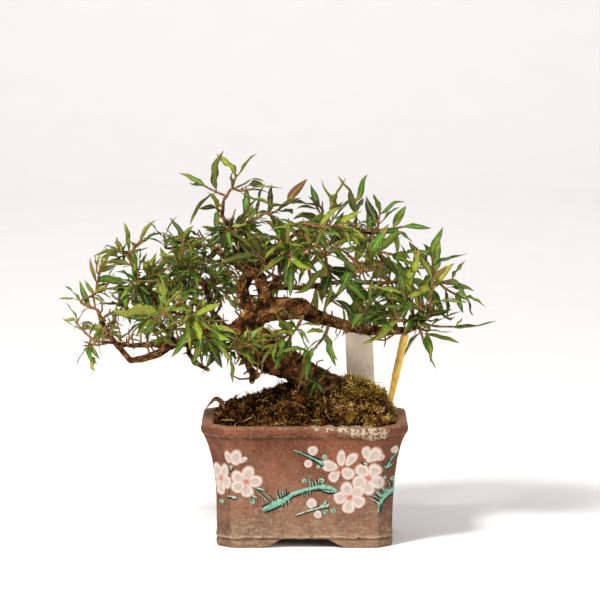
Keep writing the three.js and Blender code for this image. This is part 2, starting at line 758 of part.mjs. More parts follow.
function growLeaf(shoot, pair, side) {
  for (let attempt = 0; attempt < LEAF_TRIES; attempt += 1) {
    const pose = leafPose(shoot, pair, side, attempt);
    if (!pose) {
      return;
    }
    const solid = bladeSolid(pose, true);
    const free = bladeSolid(pose, false);
    if (apart(solid, wood) && leafClears(solid, free, shoot.node)) {
      place(solid, shoot.node, 'leaf', free);
      return;
    }
  }
}

for (let pair = 0; pair < PAIR_LEAN.length; pair += 1) {
  for (const shoot of shoots.filter(({ pairs }) => pair < pairs)) {
    growLeaf(shoot, pair, 0);
    growLeaf(shoot, pair, 1);
  }
}

const model = new THREE.Group();

function addMesh(name, solid, colour, roughness) {
  const { vertProperties, triVerts } = solid.getMesh();
  const geometry = new THREE.BufferGeometry();
  geometry.setAttribute('position', new THREE.BufferAttribute(vertProperties, 3));
  geometry.setIndex(new THREE.BufferAttribute(triVerts, 1));
  geometry.computeVertexNormals();
  const material = new THREE.MeshStandardMaterial({ color: colour, roughness, metalness: 0 });
  const mesh = new THREE.Mesh(geometry, material);
  mesh.name = name;
  model.add(mesh);
}

addMesh('pot', pot, COLOURS.clay, 0.85);
addMesh('drain_screen', screen, COLOURS.screen, 0.6);
addMesh('soil', soil, COLOURS.soil, 1);
addMesh('moss', moss, COLOURS.moss, 1);
addMesh('trunk_and_branches', wood, COLOURS.bark, 0.95);
addMesh('stake', stake, COLOURS.bamboo, 0.6);
addMesh('label', label, COLOURS.label, 0.45);
for (const node of Object.keys(SHOOTS)) {
  const pieces = placed.filter((piece) => piece.node === node).map((piece) => piece.solid);
  addMesh(node, largestBody(joined(pieces)), COLOURS.leaf, 0.5);
}

// The exported frame has the whole object's middle at X = Y = 0.
const bounds = new THREE.Box3().setFromObject(model, true);
const middle = bounds.getCenter(new THREE.Vector3());
model.position.set(-middle.x, -middle.y, 0);

export default model;
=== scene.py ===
"""Finished surfaces of a small Asiatic jasmine bonsai in a canted clay pot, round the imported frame."""
import itertools
import math
import random
from dataclasses import dataclass

import bmesh
import bpy
import numpy as np
from mathutils import Matrix, Vector, noise
from mathutils.bvhtree import BVHTree
from mathutils.kdtree import KDTree


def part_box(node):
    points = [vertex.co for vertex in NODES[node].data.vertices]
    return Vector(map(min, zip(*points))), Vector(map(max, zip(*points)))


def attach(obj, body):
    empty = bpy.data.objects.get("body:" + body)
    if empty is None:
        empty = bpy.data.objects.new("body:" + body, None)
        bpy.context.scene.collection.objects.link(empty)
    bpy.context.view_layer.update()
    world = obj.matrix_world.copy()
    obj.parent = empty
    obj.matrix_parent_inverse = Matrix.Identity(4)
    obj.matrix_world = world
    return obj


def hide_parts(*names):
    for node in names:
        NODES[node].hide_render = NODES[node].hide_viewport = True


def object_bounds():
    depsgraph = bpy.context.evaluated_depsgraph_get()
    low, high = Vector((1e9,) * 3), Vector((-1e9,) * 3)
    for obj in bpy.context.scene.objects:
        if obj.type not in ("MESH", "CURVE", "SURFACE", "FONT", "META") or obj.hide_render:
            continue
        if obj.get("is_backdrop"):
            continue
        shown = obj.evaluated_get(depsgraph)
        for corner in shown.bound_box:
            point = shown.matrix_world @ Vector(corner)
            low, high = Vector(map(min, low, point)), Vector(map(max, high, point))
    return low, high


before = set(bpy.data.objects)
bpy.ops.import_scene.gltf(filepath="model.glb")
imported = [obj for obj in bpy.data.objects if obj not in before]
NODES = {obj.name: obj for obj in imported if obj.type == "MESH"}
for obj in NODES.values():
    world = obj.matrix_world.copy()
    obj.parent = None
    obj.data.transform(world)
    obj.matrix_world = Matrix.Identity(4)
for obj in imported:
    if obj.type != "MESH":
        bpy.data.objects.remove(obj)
CAD_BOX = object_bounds()
BODY = "root"
# Lengths are in millimetres, times MM for Blender's metres, where no comment says otherwise.
MM = 0.001
UP = Vector((0, 0, 1))

HOLDERS = ("pot", "drain_screen", "soil", "moss", "trunk_and_branches", "stake", "label")
SHOOTS = sorted(node for node in NODES if node not in HOLDERS)
pot_low, pot_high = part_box("pot")
POT_MIDDLE = Vector(((pot_low.x + pot_high.x) / 2, (pot_low.y + pot_high.y) / 2, 0))
POT_HEIGHT = pot_high.z - pot_low.z
# Where the stepped band above the pot's feet begins, in millimetres.
FOOT_LEDGE = 5.6
# Solids that are meshed anew: the new mesh's width in millimetres and its rounds of smoothing.
REMESH = {"trunk_and_branches": (0.62, 5), "moss": (0.85, 2), "pot": (0.9, 3), "stake": (0.5, 6)}
# A point's value by how many numbers it has: Blender's name for its kind and for its field.
VALUE_KINDS = {1: ("FLOAT", "value"), 3: ("FLOAT_VECTOR", "vector"), 4: ("FLOAT_COLOR", "color")}

# The camera, from the pot's middle in millimetres, looking along +Y and a little down.
CAMERA_PLACE = (-2.6, -1965, 371)
CAMERA_PITCH = 6.79
CAMERA_LENS = 208.1
SENSOR = 36


def colour(red, green, blue):
    """A linear colour from 0-255 sRGB values."""
    shares = [value / 255 for value in (red, green, blue)]
    return (*(s / 12.92 if s <= 0.04045 else ((s + 0.055) / 1.055) ** 2.4 for s in shares), 1.0)


def between(low, high, share):
    return low + (high - low) * share


def smooth_step(value, low, high):
    share = min(max((value - low) / (high - low), 0), 1)
    return share * share * (3 - 2 * share)


def hump(value, middle, reach):
    """1 at the middle, and 0 well beyond the reach."""
    return math.exp(-((value - middle) / reach) ** 2)


def fractal(point, size, octaves=3):
    """Soft noise round 0 whose widest features have the given size in millimetres."""
    return noise.fractal(point / (size * MM), 1.0, 2.0, octaves)


def cell_edges(point, size):
    """Distance from the borders of irregular cells of the given size, 0 at a border."""
    distances, _ = noise.voronoi(point / (size * MM))
    return distances[1] - distances[0]


def perpendicular(direction, wanted):
    """The part of the wanted direction that is square to the first, or any such direction."""
    across = wanted - direction * wanted.dot(direction)
    return across.normalized() if across.length > 1e-6 else direction.orthogonal().normalized()


def stray(pick, spread, rise, rise_spread):
    """A random vector that leans up by about the rise."""
    return Vector((pick.gauss(0, spread), pick.gauss(0, spread), pick.gauss(rise, rise_spread)))


# Meshes


class Batch:
    """Points, faces and values for each point, gathered into one piece."""

    def __init__(self):
        self.points = []
        self.faces = []
        self.face_materials = []
        self.values = {}

    def add(self, points, faces, material=0, **values):
        start = len(self.points)
        self.points.extend(points)
        self.faces.extend(tuple(start + index for index in face) for face in faces)
        self.face_materials.extend([material] * len(faces))
        for name, value in values.items():
            listed = value if isinstance(value, list) else [value] * len(points)
            self.values.setdefault(name, []).extend(listed)


def store(mesh, name, values):
    """Keeps one value for each point, for a material to read."""
    width = len(values[0]) if isinstance(values[0], (tuple, list)) else 1
    kind, field = VALUE_KINDS[width]
    attribute = mesh.attributes.new(name, kind, "POINT")
    attribute.data.foreach_set(field, np.array(values, np.float32).ravel())


def link(name, data):
    made = bpy.data.objects.new(name, data)
    bpy.context.scene.collection.objects.link(made)
    return made


def dress(piece, materials, replaced=()):
    """Gives a piece its materials, its body and the nodes that it stands for."""
    piece.data.materials.clear()
    for material in materials:
        piece.data.materials.append(material)
    piece.data.shade_smooth()
    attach(piece, BODY)
    if replaced:
        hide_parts(*replaced)
    return piece


def batch_piece(name, batch, materials, replaced=()):
    mesh = bpy.data.meshes.new(name)
    mesh.from_pydata(batch.points, [], batch.faces)
    for value_name, values in batch.values.items():
        store(mesh, value_name, values)
    piece = dress(link(name, mesh), materials, replaced)
    mesh.polygons.foreach_set("material_index", batch.face_materials)
    return piece


def welded(node):
    """A node's solid with its points joined."""
    solid = bmesh.new()
    solid.from_mesh(NODES[node].data)
    bmesh.ops.remove_doubles(solid, verts=solid.verts, dist=WELD)
    return solid


def piece_of(name, solid):
    mesh = bpy.data.meshes.new(name)
    solid.to_mesh(mesh)
    solid.free()
    return link(name, mesh)


def remeshed(name, node):
    """A copy of a node's solid as an even mesh with softened edges."""
    voxel, smoothing = REMESH[node]
    piece = piece_of(name, welded(node))
    coarse = piece.data
    remesh = piece.modifiers.new("remesh", "REMESH")
    remesh.mode = "VOXEL"
    remesh.voxel_size = voxel * MM
    piece.modifiers.new("smooth", "SMOOTH").iterations = smoothing
    evaluated = piece.evaluated_get(bpy.context.evaluated_depsgraph_get())
    fine = bpy.data.meshes.new_from_object(evaluated)
    piece.modifiers.clear()
    piece.data = fine
    bpy.data.meshes.remove(coarse)
    return piece


def raise_surface(piece, height):
    """Moves each point out along its normal by height(point, normal), in millimetres."""
    vertices = piece.data.vertices
    surface = [(vertex.co.copy(), vertex.normal.copy()) for vertex in vertices]
    for vertex, (point, normal) in zip(vertices, surface):
        vertex.co = point + normal * (height(point, normal) * MM)


def tree_of(piece):
    mesh = piece.data
    return BVHTree.FromPolygons([v.co for v in mesh.vertices], [tuple(p.vertices) for p in mesh.polygons])


def smooth_line(points, steps):
    """A Catmull-Rom line through the points, with the given number of steps from one to the next."""
    ends = [2 * points[0] - points[1], *points, 2 * points[-1] - points[-2]]
    line = []
    for before, start, end, after in zip(ends, ends[1:], ends[2:], ends[3:]):
        for step in range(steps):
            share = step / steps
            bend = (2 * before - 5 * start + 4 * end - after) * share ** 2
            turn = (3 * start - before - 3 * end + after) * share ** 3
            line.append(0.5 * (2 * start + (end - before) * share + bend + turn))
    return [*line, points[-1]]


def stations(line, spacing, gone):
    """Places along a line at a spacing, and its direction there, from one that is already gone."""
    for start, end in zip(line, line[1:]):
        gone += (end - start).length
        if gone >= spacing:
            gone -= spacing
            yield end, (end - start).normalized()


def bar_faces(rings, sides):
    """The faces of a closed bar whose points are listed ring by ring."""
    faces = []
    for ring, corner in itertools.product(range(rings - 1), range(sides)):
        start = ring * sides
        following = start + (corner + 1) % sides
        faces.append((start + corner, following, following + sides, start + corner + sides))
    return [*faces, tuple(reversed(range(sides))), tuple(range((rings - 1) * sides, rings * sides))]


def tube(line, radii, sides):
    """Points and faces of a closed round bar along a line."""
    last = len(line) - 1
    tangents = [(line[min(i + 1, last)] - line[max(i - 1, 0)]).normalized() for i in range(last + 1)]
    normal = perpendicular(tangents[0], Vector((0, 0.3, 1)))
    points = []
    for place, tangent, radius in zip(line, tangents, radii):
        normal = perpendicular(tangent, normal)
        side = tangent.cross(normal)
        for corner in range(sides):
            angle = math.tau * corner / sides
            points.append(place + radius * (normal * math.cos(angle) + side * math.sin(angle)))
    return points, bar_faces(len(line), sides)


def surface_places(piece, count, seed, steepest):
    """Random places on a mesh, spread evenly by area where it faces up enough: points and normals."""
    mesh = piece.data
    mesh.calc_loop_triangles()
    corners = np.array([triangle.vertices for triangle in mesh.loop_triangles])
    first, second, third = np.array([vertex.co for vertex in mesh.vertices])[corners.T]
    cross = np.cross(second - first, third - first)
    areas = np.linalg.norm(cross, axis=1)
    normals = cross / areas[:, None].clip(1e-12)
    weights = areas * (normals[:, 2] > steepest)
    draw = np.random.RandomState(seed)
    picked = draw.choice(len(areas), count, p=weights / weights.sum())
    shares = draw.rand(2, count)
    ahead, aside = np.where(shares.sum(axis=0) > 1, 1 - shares, shares)[..., None]
    start = first[picked]
    places = start + ahead * (second[picked] - start) + aside * (third[picked] - start)
    return [(Vector(place), Vector(normal)) for place, normal in zip(places, normals[picked])]


# Materials, whose colours are 0-255 sRGB values. Heights in them are in metres.


class Graph:
    """A material's nodes, with short calls for the kinds that are used here."""

    def __init__(self, name, roughness, specular):
        self.material = bpy.data.materials.new(name)
        self.material.use_nodes = True
        self.nodes = self.material.node_tree.nodes
        self.links = self.material.node_tree.links
        self.shader = next(node for node in self.nodes if node.type == "BSDF_PRINCIPLED")
        self.shader.inputs["Roughness"].default_value = roughness
        self.shader.inputs["Specular IOR Level"].default_value = specular
        self.place = self.nodes.new("ShaderNodeTexCoord").outputs["Object"]

    def feed(self, socket, value):
        if isinstance(value, bpy.types.NodeSocket):
            self.links.new(value, socket)
        else:
            socket.default_value = colour(*value) if socket.type == "RGBA" else value

    def make(self, kind, inputs, **settings):
        made = self.nodes.new(kind)
        for key, value in settings.items():
            setattr(made, key, value)
        for key, value in inputs.items():
            self.feed(made.inputs[key], value)
        return made

    def stretched(self, stretch):
        if not stretch:
            return self.place
        return self.make("ShaderNodeMapping", {"Vector": self.place, "Scale": stretch}).outputs["Vector"]

    def noise(self, size, detail=4, stretch=None):
        """Noise from 0 to 1 with features of a size in millimetres."""
        inputs = {"Vector": self.stretched(stretch), "Scale": 1 / (size * MM), "Detail": detail}
        return self.make("ShaderNodeTexNoise", inputs).outputs["Fac"]

    def cells(self, size, output="Distance", feature="F1", stretch=None):
        inputs = {"Vector": self.stretched(stretch), "Scale": 1 / (size * MM)}
        return self.make("ShaderNodeTexVoronoi", inputs, feature=feature).outputs[output]

    def ramp(self, factor, stops):
        made = self.make("ShaderNodeValToRGB", {"Fac": factor})
        elements = made.color_ramp.elements
        while len(elements) < len(stops):
            elements.new(0.5)
        for element, (position, stop) in zip(elements, stops):
            element.position = position
            element.color = colour(*stop)
        return made.outputs["Color"]

    def mix(self, factor, first, second, blend="MIX"):
        made = self.make("ShaderNodeMix", {}, data_type="RGBA", blend_type=blend)
        for index, value in zip((0, 6, 7), (factor, first, second)):
            self.feed(made.inputs[index], value)
        return made.outputs[2]

    def layers(self, base, *layers):
        """The base with colours laid over it in turn, each as strong as its mask."""
        for mask, laid in layers:
            base = self.mix(mask, base, laid)
        return base

    def math(self, operation, first, second=0.0, third=0.0):
        return self.make("ShaderNodeMath", {0: first, 1: second, 2: third}, operation=operation).outputs[0]

    def times(self, first, second):
        return self.math("MULTIPLY", first, second)

    def plus(self, first, second):
        return self.math("ADD", first, second)

    def minus(self, first, second):
        return self.math("SUBTRACT", first, second)

    def most(self, first, second):
        return self.math("MAXIMUM", first, second)

    def step(self, value, low, high, top=1.0, bottom=0.0):
        """The bottom value below low and the top value above high, with a smooth change."""
        inputs = {"Value": value, "From Min": low, "From Max": high, "To Min": bottom, "To Max": top}
        return self.make("ShaderNodeMapRange", inputs, interpolation_type="SMOOTHSTEP").outputs["Result"]

    def below(self, value, low, high):
        """1 below low and 0 above high, with a smooth change."""
        return self.minus(1.0, self.step(value, low, high))

    def patches(self, size, low, high, top=1.0, detail=4, stretch=None):
        """Patches of a size in millimetres, where noise rises from low to high."""
        return self.step(self.noise(size, detail, stretch), low, high, top)

    def swing(self, size, detail, reach):
        """Noise that swings round 0 over a reach."""
        return self.times(self.minus(self.noise(size, detail), 0.5), reach)

    def value(self, name, output="Fac"):
        return self.make("ShaderNodeAttribute", {}, attribute_name=name).outputs[output]

    def split(self, vector):
        return self.make("ShaderNodeSeparateXYZ", {"Vector": vector}).outputs

    def finish(self, base, bump, depth):
        """Sets the colour, and a bump of the given depth in millimetres."""
        self.feed(self.shader.inputs["Base Color"], base)
        made = self.make("ShaderNodeBump", {"Height": bump, "Distance": depth * MM})
        self.links.new(made.outputs["Normal"], self.shader.inputs["Normal"])
        return self.material


FRESH_LEAF = [
    (0.0, (5, 15, 2)), (0.3, (25, 60, 12)), (0.6, (78, 122, 32)),
    (0.8, (152, 156, 48)), (0.92, (118, 84, 38)), (1.0, (104, 42, 32)),
]
DRY_LEAF = [(0.0, (44, 22, 8)), (0.5, (96, 58, 26)), (1.0, (146, 100, 54))]


def leaf_material(name, tones, vein_and_highlight, underside, aged):
    graph = Graph(name, 0.4, 0.2)
    along, across, under = graph.split(graph.value("blade", "Vector"))
    off_midrib = graph.math("ABSOLUTE", across)
    midrib = graph.below(off_midrib, 0.03, 0.14)
    margin = graph.step(off_midrib, 0.86, 1.0, 0.35)
    slant = graph.math("MULTIPLY_ADD", off_midrib, -0.16, along)
    veins = graph.step(graph.math("SINE", graph.times(slant, 62.0)), 0.6, 1.0, 0.25)
    # Pale midrib, veins and margins: partly the leaf's own colour, partly painted highlight along them.
    pale_lines_and_highlight = graph.most(graph.most(midrib, margin), veins)
    foot = graph.below(along, 0.04, 0.2)
    tip = graph.times(graph.step(along, 0.8, 1.0), graph.patches(4.0, 0.4, 0.6))
    base = graph.layers(
        graph.ramp(graph.value("tint"), tones),
        (graph.patches(6.0, 0.53, 0.64, 0.7, 3), aged),
        (graph.patches(1.6, 0.4, 0.75, 0.55), tones[0][1]),
        (graph.times(pale_lines_and_highlight, 0.42), vein_and_highlight),
        (graph.times(graph.most(foot, tip), 0.75), (150, 110, 52)),
        (graph.times(under, 0.45), underside),
    )
    graph.feed(graph.shader.inputs["Roughness"], graph.step(under, 0.0, 1.0, 0.6, 0.34))
    return graph.finish(base, graph.minus(graph.noise(0.7), pale_lines_and_highlight), 0.12)


def twig_material():
    graph = Graph("twig_skin", 0.7, 0.15)
    flecks = graph.noise(0.9)
    share = graph.step(flecks, 0.3, 0.7)
    woody = graph.mix(share, (60, 36, 16), (160, 120, 78))
    green = graph.mix(share, (92, 64, 26), (160, 132, 70))
    base = graph.mix(graph.step(graph.value("tint"), 0.55, 1.0), woody, green)
    return graph.finish(base, flecks, 0.15)


def bark_material():
    graph = Graph("bark", 0.9, 0.1)
    relief = graph.value("relief")
    # Colour by relief: darker in the cracks and paler on the plates, partly the bark's own colour and
    # partly painted shade and light.
    plate_tone_and_crack_shade = graph.ramp(graph.plus(relief, graph.swing(6.0, 7, 1.2)), [
        (0.2, (24, 12, 3)), (0.36, (84, 52, 24)), (0.5, (132, 94, 52)),
        (0.68, (170, 130, 80)), (0.92, (216, 184, 132)),
    ])
    flakes = graph.step(graph.split(graph.cells(1.1, "Color"))[0], 0.72, 0.8)
    cracks = graph.below(graph.cells(1.5, "Distance", "DISTANCE_TO_EDGE", (0.8, 1, 1.5)), 0.02, 0.16)
    heartwood = graph.mix(graph.noise(1.2), (150, 112, 70), (214, 184, 138))
    near_soil = graph.below(graph.split(graph.place)[2], 0.078, 0.1)
    base = graph.layers(
        plate_tone_and_crack_shade,
        (graph.patches(5.0, 0.46, 0.62, 0.45), (122, 70, 36)),
        (graph.times(flakes, graph.step(relief, 0.4, 0.6, 0.4)), (186, 150, 98)),
        # The cracks darker still: partly the bark's own colour, partly painted shade in them.
        (graph.times(cracks, 0.45), (34, 18, 5)),
        (graph.value("cut"), heartwood),
        (graph.times(near_soil, graph.patches(4.0, 0.45, 0.6, 0.6)), (80, 78, 28)),
    )
    grain = graph.minus(graph.plus(graph.noise(0.8, 6), graph.cells(1.3)), cracks)
    return graph.finish(base, grain, 0.35)


def moss_material():
    graph = Graph("moss", 0.95, 0.05)
    varied = graph.plus(graph.value("tint"), graph.swing(3.0, 4, 0.6))
    brown = graph.ramp(varied, [
        (0.0, (16, 7, 1)), (0.2, (54, 28, 9)), (0.4, (98, 62, 27)),
        (0.58, (138, 100, 50)), (0.8, (188, 152, 94)), (1.0, (226, 198, 146)),
    ])
    green = graph.ramp(varied, [
        (0.0, (20, 14, 2)), (0.25, (62, 50, 10)), (0.5, (116, 102, 26)),
        (0.75, (166, 152, 58)), (1.0, (216, 200, 118)),
    ])
    across, _, height = graph.split(graph.place)
    crest = graph.times(graph.step(height, 0.079, 0.088), graph.step(across, 0.015, 0.055))
    lower = graph.times(graph.patches(6.0, 0.5, 0.62, 1.0, 3), graph.step(across, -0.01, 0.03, 0.7))
    base = graph.mix(graph.times(graph.most(crest, lower), 0.6), brown, green)
    return graph.finish(base, graph.noise(0.7, 5), 0.4)


def clay_material():
    graph = Graph("worn_clay", 0.8, 0.15)
    height = graph.split(graph.place)[2]
    body = graph.mix(graph.patches(24.0, 0.34, 0.66, 1.0, 5), (88, 43, 27), (124, 75, 53))
    speckle = graph.patches(0.9, 0.38, 0.66, 1.0, 3)
    level = graph.plus(height, graph.swing(9.0, 7, 0.06))
    haze = graph.below(level, 0.008, 0.068)
    stains = graph.noise(8.0, 7, (1, 1, 0.7))
    deposit = graph.patches(2.6, 0.44, 0.62, 0.5, 6, (0.5, 0.5, 1.4))
    off_ledge = graph.plus(graph.minus(height, (FOOT_LEDGE + 0.7) * MM), graph.swing(7.0, 6, 0.004))
    ledge = graph.below(graph.math("ABSOLUTE", off_ledge), 0.0002, 0.0008)
    lime = graph.mix(graph.patches(1.3, 0.42, 0.58, 1.0, 6), (92, 66, 50), (170, 152, 130))
    base = graph.layers(
        body,
        (graph.times(speckle, 0.25), (154, 110, 86)),
        (graph.times(haze, graph.math("MULTIPLY_ADD", speckle, 0.5, 0.3)), (120, 103, 87)),
        (graph.step(stains, 0.5, 0.7, 0.35), (72, 38, 25)),
        (graph.patches(1.9, 0.5, 0.68, 0.3, 4, (0.8, 0.8, 1.3)), (70, 40, 28)),
        (graph.times(graph.patches(1.6, 0.52, 0.7, 0.34, 5), graph.plus(haze, 0.15)), (166, 138, 114)),
        (graph.times(graph.below(level, 0.007, 0.021), deposit), (146, 128, 102)),
        # Darker on the cut corners, and painted shade under the rim and below the ledge.
        (graph.times(graph.value("dark_corners_and_shade"), graph.patches(5.0, 0.2, 0.6, 0.9, 5)), (54, 32, 22)),
        (graph.times(graph.value("wear"), graph.patches(1.8, 0.36, 0.6, 0.85, 5)), (168, 142, 114)),
        (graph.times(ledge, graph.patches(3.4, 0.36, 0.56, 0.75)), (176, 152, 122)),
        (graph.value("crust"), lime),
    )
    return graph.finish(base, graph.plus(graph.noise(0.6, 5), stains), 0.22)


def enamel_material(name, wash_size, plate_tone_and_crack_shade, low, high):
    """Paint that is worn, where noise rises from low to high, to its colour times the worn one."""
    graph = Graph(name, 0.6, 0.2)
    wash = graph.noise(wash_size)
    paint = graph.value("paint", "Color")
    thin = graph.mix(1.0, paint, plate_tone_and_crack_shade, "MULTIPLY")
    return graph.finish(graph.mix(graph.step(wash, low, high), paint, thin), wash, 0.08)


def cane_material():
    graph = Graph("split_cane", 0.5, 0.3)
    fibres = graph.noise(1.1, 5, (1, 1, 0.06))
    golden = graph.mix(fibres, (178, 133, 32), (232, 198, 100))
    base = graph.mix(graph.patches(5.0, 0.55, 0.75, 0.5), golden, (150, 110, 46))
    return graph.finish(base, fibres, 0.12)


def label_material():
    graph = Graph("weathered_plastic", 0.42, 0.35)
    clean = graph.mix(graph.noise(14.0), (236, 213, 186), (250, 236, 215))
    near_soil = graph.below(graph.split(graph.place)[2], 0.082, 0.105)
    soiled = graph.times(near_soil, graph.patches(3.0, 0.35, 0.7, 0.6, 5))
    return graph.finish(graph.mix(soiled, clean, (150, 126, 88)), graph.noise(1.6, 3), 0.05)


def soil_material():
    graph = Graph("damp_soil", 0.95, 0.2)
    base = graph.mix(graph.patches(2.0, 0.3, 0.7, 1.0, 5), (34, 24, 17), (86, 64, 46))
    return graph.finish(base, graph.cells(1.6), 0.8)


def screen_material():
    graph = Graph("woven_screen", 0.55, 0.4)
    weave = graph.cells(1.2, "Distance", "DISTANCE_TO_EDGE")
    return graph.finish(graph.mix(graph.step(weave, 0.05, 0.2), (54, 54, 54), (24, 24, 24)), weave, 0.2)


def stage_material():
    graph = Graph("pale_floor", 0.8, 0.3)
    base = graph.mix(graph.noise(60.0, 2), (243, 242, 243), (247, 246, 247))
    return graph.finish(base, graph.noise(3.0, 2), 0.01)


# Foliage

# Points closer than this, in metres, are one point.
WELD = 2e-6
# Where along a blade its solid's two sections and its tip are, and how much wider the first may be.
BLADE_STATIONS = (0.36, 0.7, 1.0)
BLADE_TAPER = (1.3, 1.9)
FIT = np.linalg.inv([[1, share, share * share] for share in BLADE_STATIONS])
# How far apart, in millimetres, points of a twig may be that belong to one place on it.
BASE_REACH = 0.9
RING_REACH = 2.6
ROOT_REACH = 0.55
# A twig rather goes on from its end than forks, by this factor of distance.
FORK_COST = 1.2
TWIG_RADII = (1.0, 0.5)
FORK_RADII = (0.75, 0.45)
TWIG_SIDES = 6
TWIG_STEPS = 4
LINE_STEPS = 8
BUD_LENGTH = 2.4

BLADE_ROWS = 12
BLADE_THICKNESS = 0.24
PETIOLE_HALF_WIDTH = 0.34
HALF_WIDTH_SHARE = 0.135
WIDTH_SPREAD = (0.64, 1.14)
# How far a blade arches down, sweeps aside and bows to and fro, as shares of its length.
ARCH = (-0.06, 0.2)
SWEEP = 0.17
BOW = 0.035
ROLL = 0.6
TWIST = 1.0
# How far its halves fold up and its margin waves, as shares of its half width.
FOLD = (0.1, 0.55)
WAVE = (0.08, 0.36)
WAVES = 2.5
# The stalk ends between these shares of the length.
STALK_END = (0.04, 0.2)

# Leaves between the pairs that the solids have, in pairs square to their neighbours.
EXTRA_SPACING = 4.3
EXTRA_TURN = 0.45
# How far a further leaf and a young one lean off the twig, in degrees, and their lengths as
# shares of the solids' leaves.
EXTRA_LEAF = ((34, 74), (0.42, 0.95))
YOUNG_LEAF = ((10, 34), (0.3, 0.6))
# Light comes from above and a little from every side, and each leaf's face turns to it.
LIGHT_SPREAD = 0.35
LIGHT_ALONG = 0.45
DROOP = (0.0, 0.14)
LEAF_CLEARANCE = 0.75
WOOD_CLEARANCE = 0.6
# Leaf points are found by cells of this size, which is more than any clearance.
GRID_CELL = 3
# Further leaves end no further than this from the leaves that the solids have.
CROWN_REACH = 9.0
CROWN_ROOM = 600
# The share of further leaves and twigs that grow, and how it changes towards some places:
# x from the pot's middle, height, reach and change.
LEAFINESS = 0.56
LEAFY_SPOTS = [
    (-86, 142, 28, 0.5), (-76, 110, 34, 0.7), (-104, 112, 16, 0.7), (-106, 160, 14, 0.6),
    (-88, 182, 20, -0.9), (-130, 132, 16, -1.2), (-57, 198, 17, -1.0), (-48, 213, 16, -0.8),
    (-10, 201, 22, -1.2), (34, 202, 20, -1.2), (28, 178, 13, 0.5), (60, 174, 18, -0.8),
    (80, 162, 20, -1.3), (98, 130, 18, -1.2), (8, 141, 21, -1.1), (66, 106, 22, -1.2),
    (-4, 177, 18, 0.6), (-78, 164, 12, 0.6), (70, 130, 11, 0.6), (80, 110, 12, -0.8),
    (110, 126, 14, -1.0), (8, 112, 16, -0.8), (-36, 96, 12, 0.5),
]
# Painted shade: leaves with this many points of others round them, within this reach, are the darkest, and
# leaves with few are lighter.
SHADE_REACH = 8.0
SHADE_COUNT = 80
SHADE = 0.42

# Tints run from 0, dark green, over yellow green to 1, red. A leaf's lies round the first
# value and varies in patches through the crown and from leaf to leaf, and is darker as painted shade where
# leaves crowd.
LEAF_TINT = 0.36
TINT_PATCH = 0.34
PATCH_SIZE = 26.0
TINT_SPREAD = 0.18
TINT_TOP = 0.72
YOUNG_TINT = (0.42, 0.8)
# Red leaves, then yellow ones: the draw below which a leaf is one, and its tint's range.
ODD_TINTS = [(0.04, 0.88, 1.0), (0.08, 0.72, 0.84)]

# Side twigs that fork from a shoot's own twigs.
SIDE_SPACING = 3.4
SIDE_LENGTH = (4.0, 10.0)
SIDE_LEAN = (26, 62)
SIDE_RADII = (0.6, 0.36)
SIDE_BEND = 0.16
SIDE_CLEARANCE = 1.0

# Short shoots that break straight from the thinner branches.
WOOD_SHOOTS = 2600
WOOD_SHOOT_FLOOR = 94
WOOD_SHOOT_LENGTH = (4.0, 13.0)
WOOD_SHOOT_RISE = 0.7
WOOD_SHOOT_SPACING = 3.0
SHOOT_SINK = 0.4
THIN_WOOD = 7.5
WOOD_CROWN_REACH = 12.0
# Twigs and young leaves grow by these shares more often than leaves, and this share of twigs is bare.
TWIG_BONUS = 0.15
YOUNG_BONUS = 0.3
BARE_SHARE = 0.42


@dataclass
class Leaf:
    """A blade's middle line is base + run u + sag u squared, for u from 0 to 1."""
    base: Vector
    run: Vector
    sag: Vector
    upper: Vector
    half_width: float
    young: bool = False

    def at(self, share):
        return self.base + self.run * share + self.sag * share ** 2


def neighbours(vert):
    return {edge.other_vert(vert) for edge in vert.link_edges}


def blade_section(verts):
    """The middle, half width and upward direction of a blade's three-cornered section."""
    pairs = itertools.combinations(verts, 2)
    first, second = max(pairs, key=lambda pair: (pair[0].co - pair[1].co).length)
    (keel,) = verts - {first, second}
    middle = (first.co + second.co) / 2
    return middle, (second.co - first.co).length / 2, middle - keel.co


def blade_from(tip):
    """The leaf whose tip is this point of a solid with its points, or nothing if it is no leaf's tip."""
    narrow = neighbours(tip)
    if len(narrow) != 3 or any(not narrow <= neighbours(vert) | {vert} for vert in narrow):
        return None
    wide = set().union(*map(neighbours, narrow)) - narrow - {tip}
    if len(wide) != 3:
        return None
    far, far_width, _ = blade_section(narrow)
    near, near_width, upper = blade_section(wide)
    if not BLADE_TAPER[0] < near_width / far_width < BLADE_TAPER[1]:
        return None
    base, run, sag = (Vector(row) for row in FIT @ np.array([near, far, tip.co]))
    leaf = Leaf(base, run, sag, perpendicular(run.normalized(), upper), near_width)
    return leaf, {tip, *narrow, *wide}


def middle_of(points):
    return sum(points, Vector()) / len(points)


def grouped(points, reach):
    """Points in groups, each within reach of its group's first point."""
    groups = []
    for point in points:
        near = next((group for group in groups if (group[0] - point).length < reach * MM), None)
        if near is None:
            groups.append([point])
        else:
            near.append(point)
    return groups


def off_wood(point):
    return wood_tree.find_nearest(point)[3]


def read_shoot(node):
    """A shoot node's leaves, the points that its twigs pass through, and the twigs' root."""
    solid = welded(node)
    found = [blade for blade in map(blade_from, solid.verts) if blade]
    leaves = [leaf for leaf, _ in found]
    blade_verts = set().union(*(verts for _, verts in found))
    skin = [vert.co.copy() for vert in solid.verts if vert not in blade_verts]
    solid.free()
    nodes = [middle_of(group) for group in grouped([leaf.base for leaf in leaves], BASE_REACH)]
    foot = [point for point in skin if off_wood(point) < ROOT_REACH * MM] or [min(skin, key=off_wood)]
    root = wood_tree.find_nearest(middle_of(foot))[0]
    near = [*nodes, root]
    free = [point for point in skin if min((point - other).length for other in near) > RING_REACH * MM]
    joints = [middle_of(group) for group in grouped(free, RING_REACH) if len(group) > 2]
    return leaves, nodes + joints, root


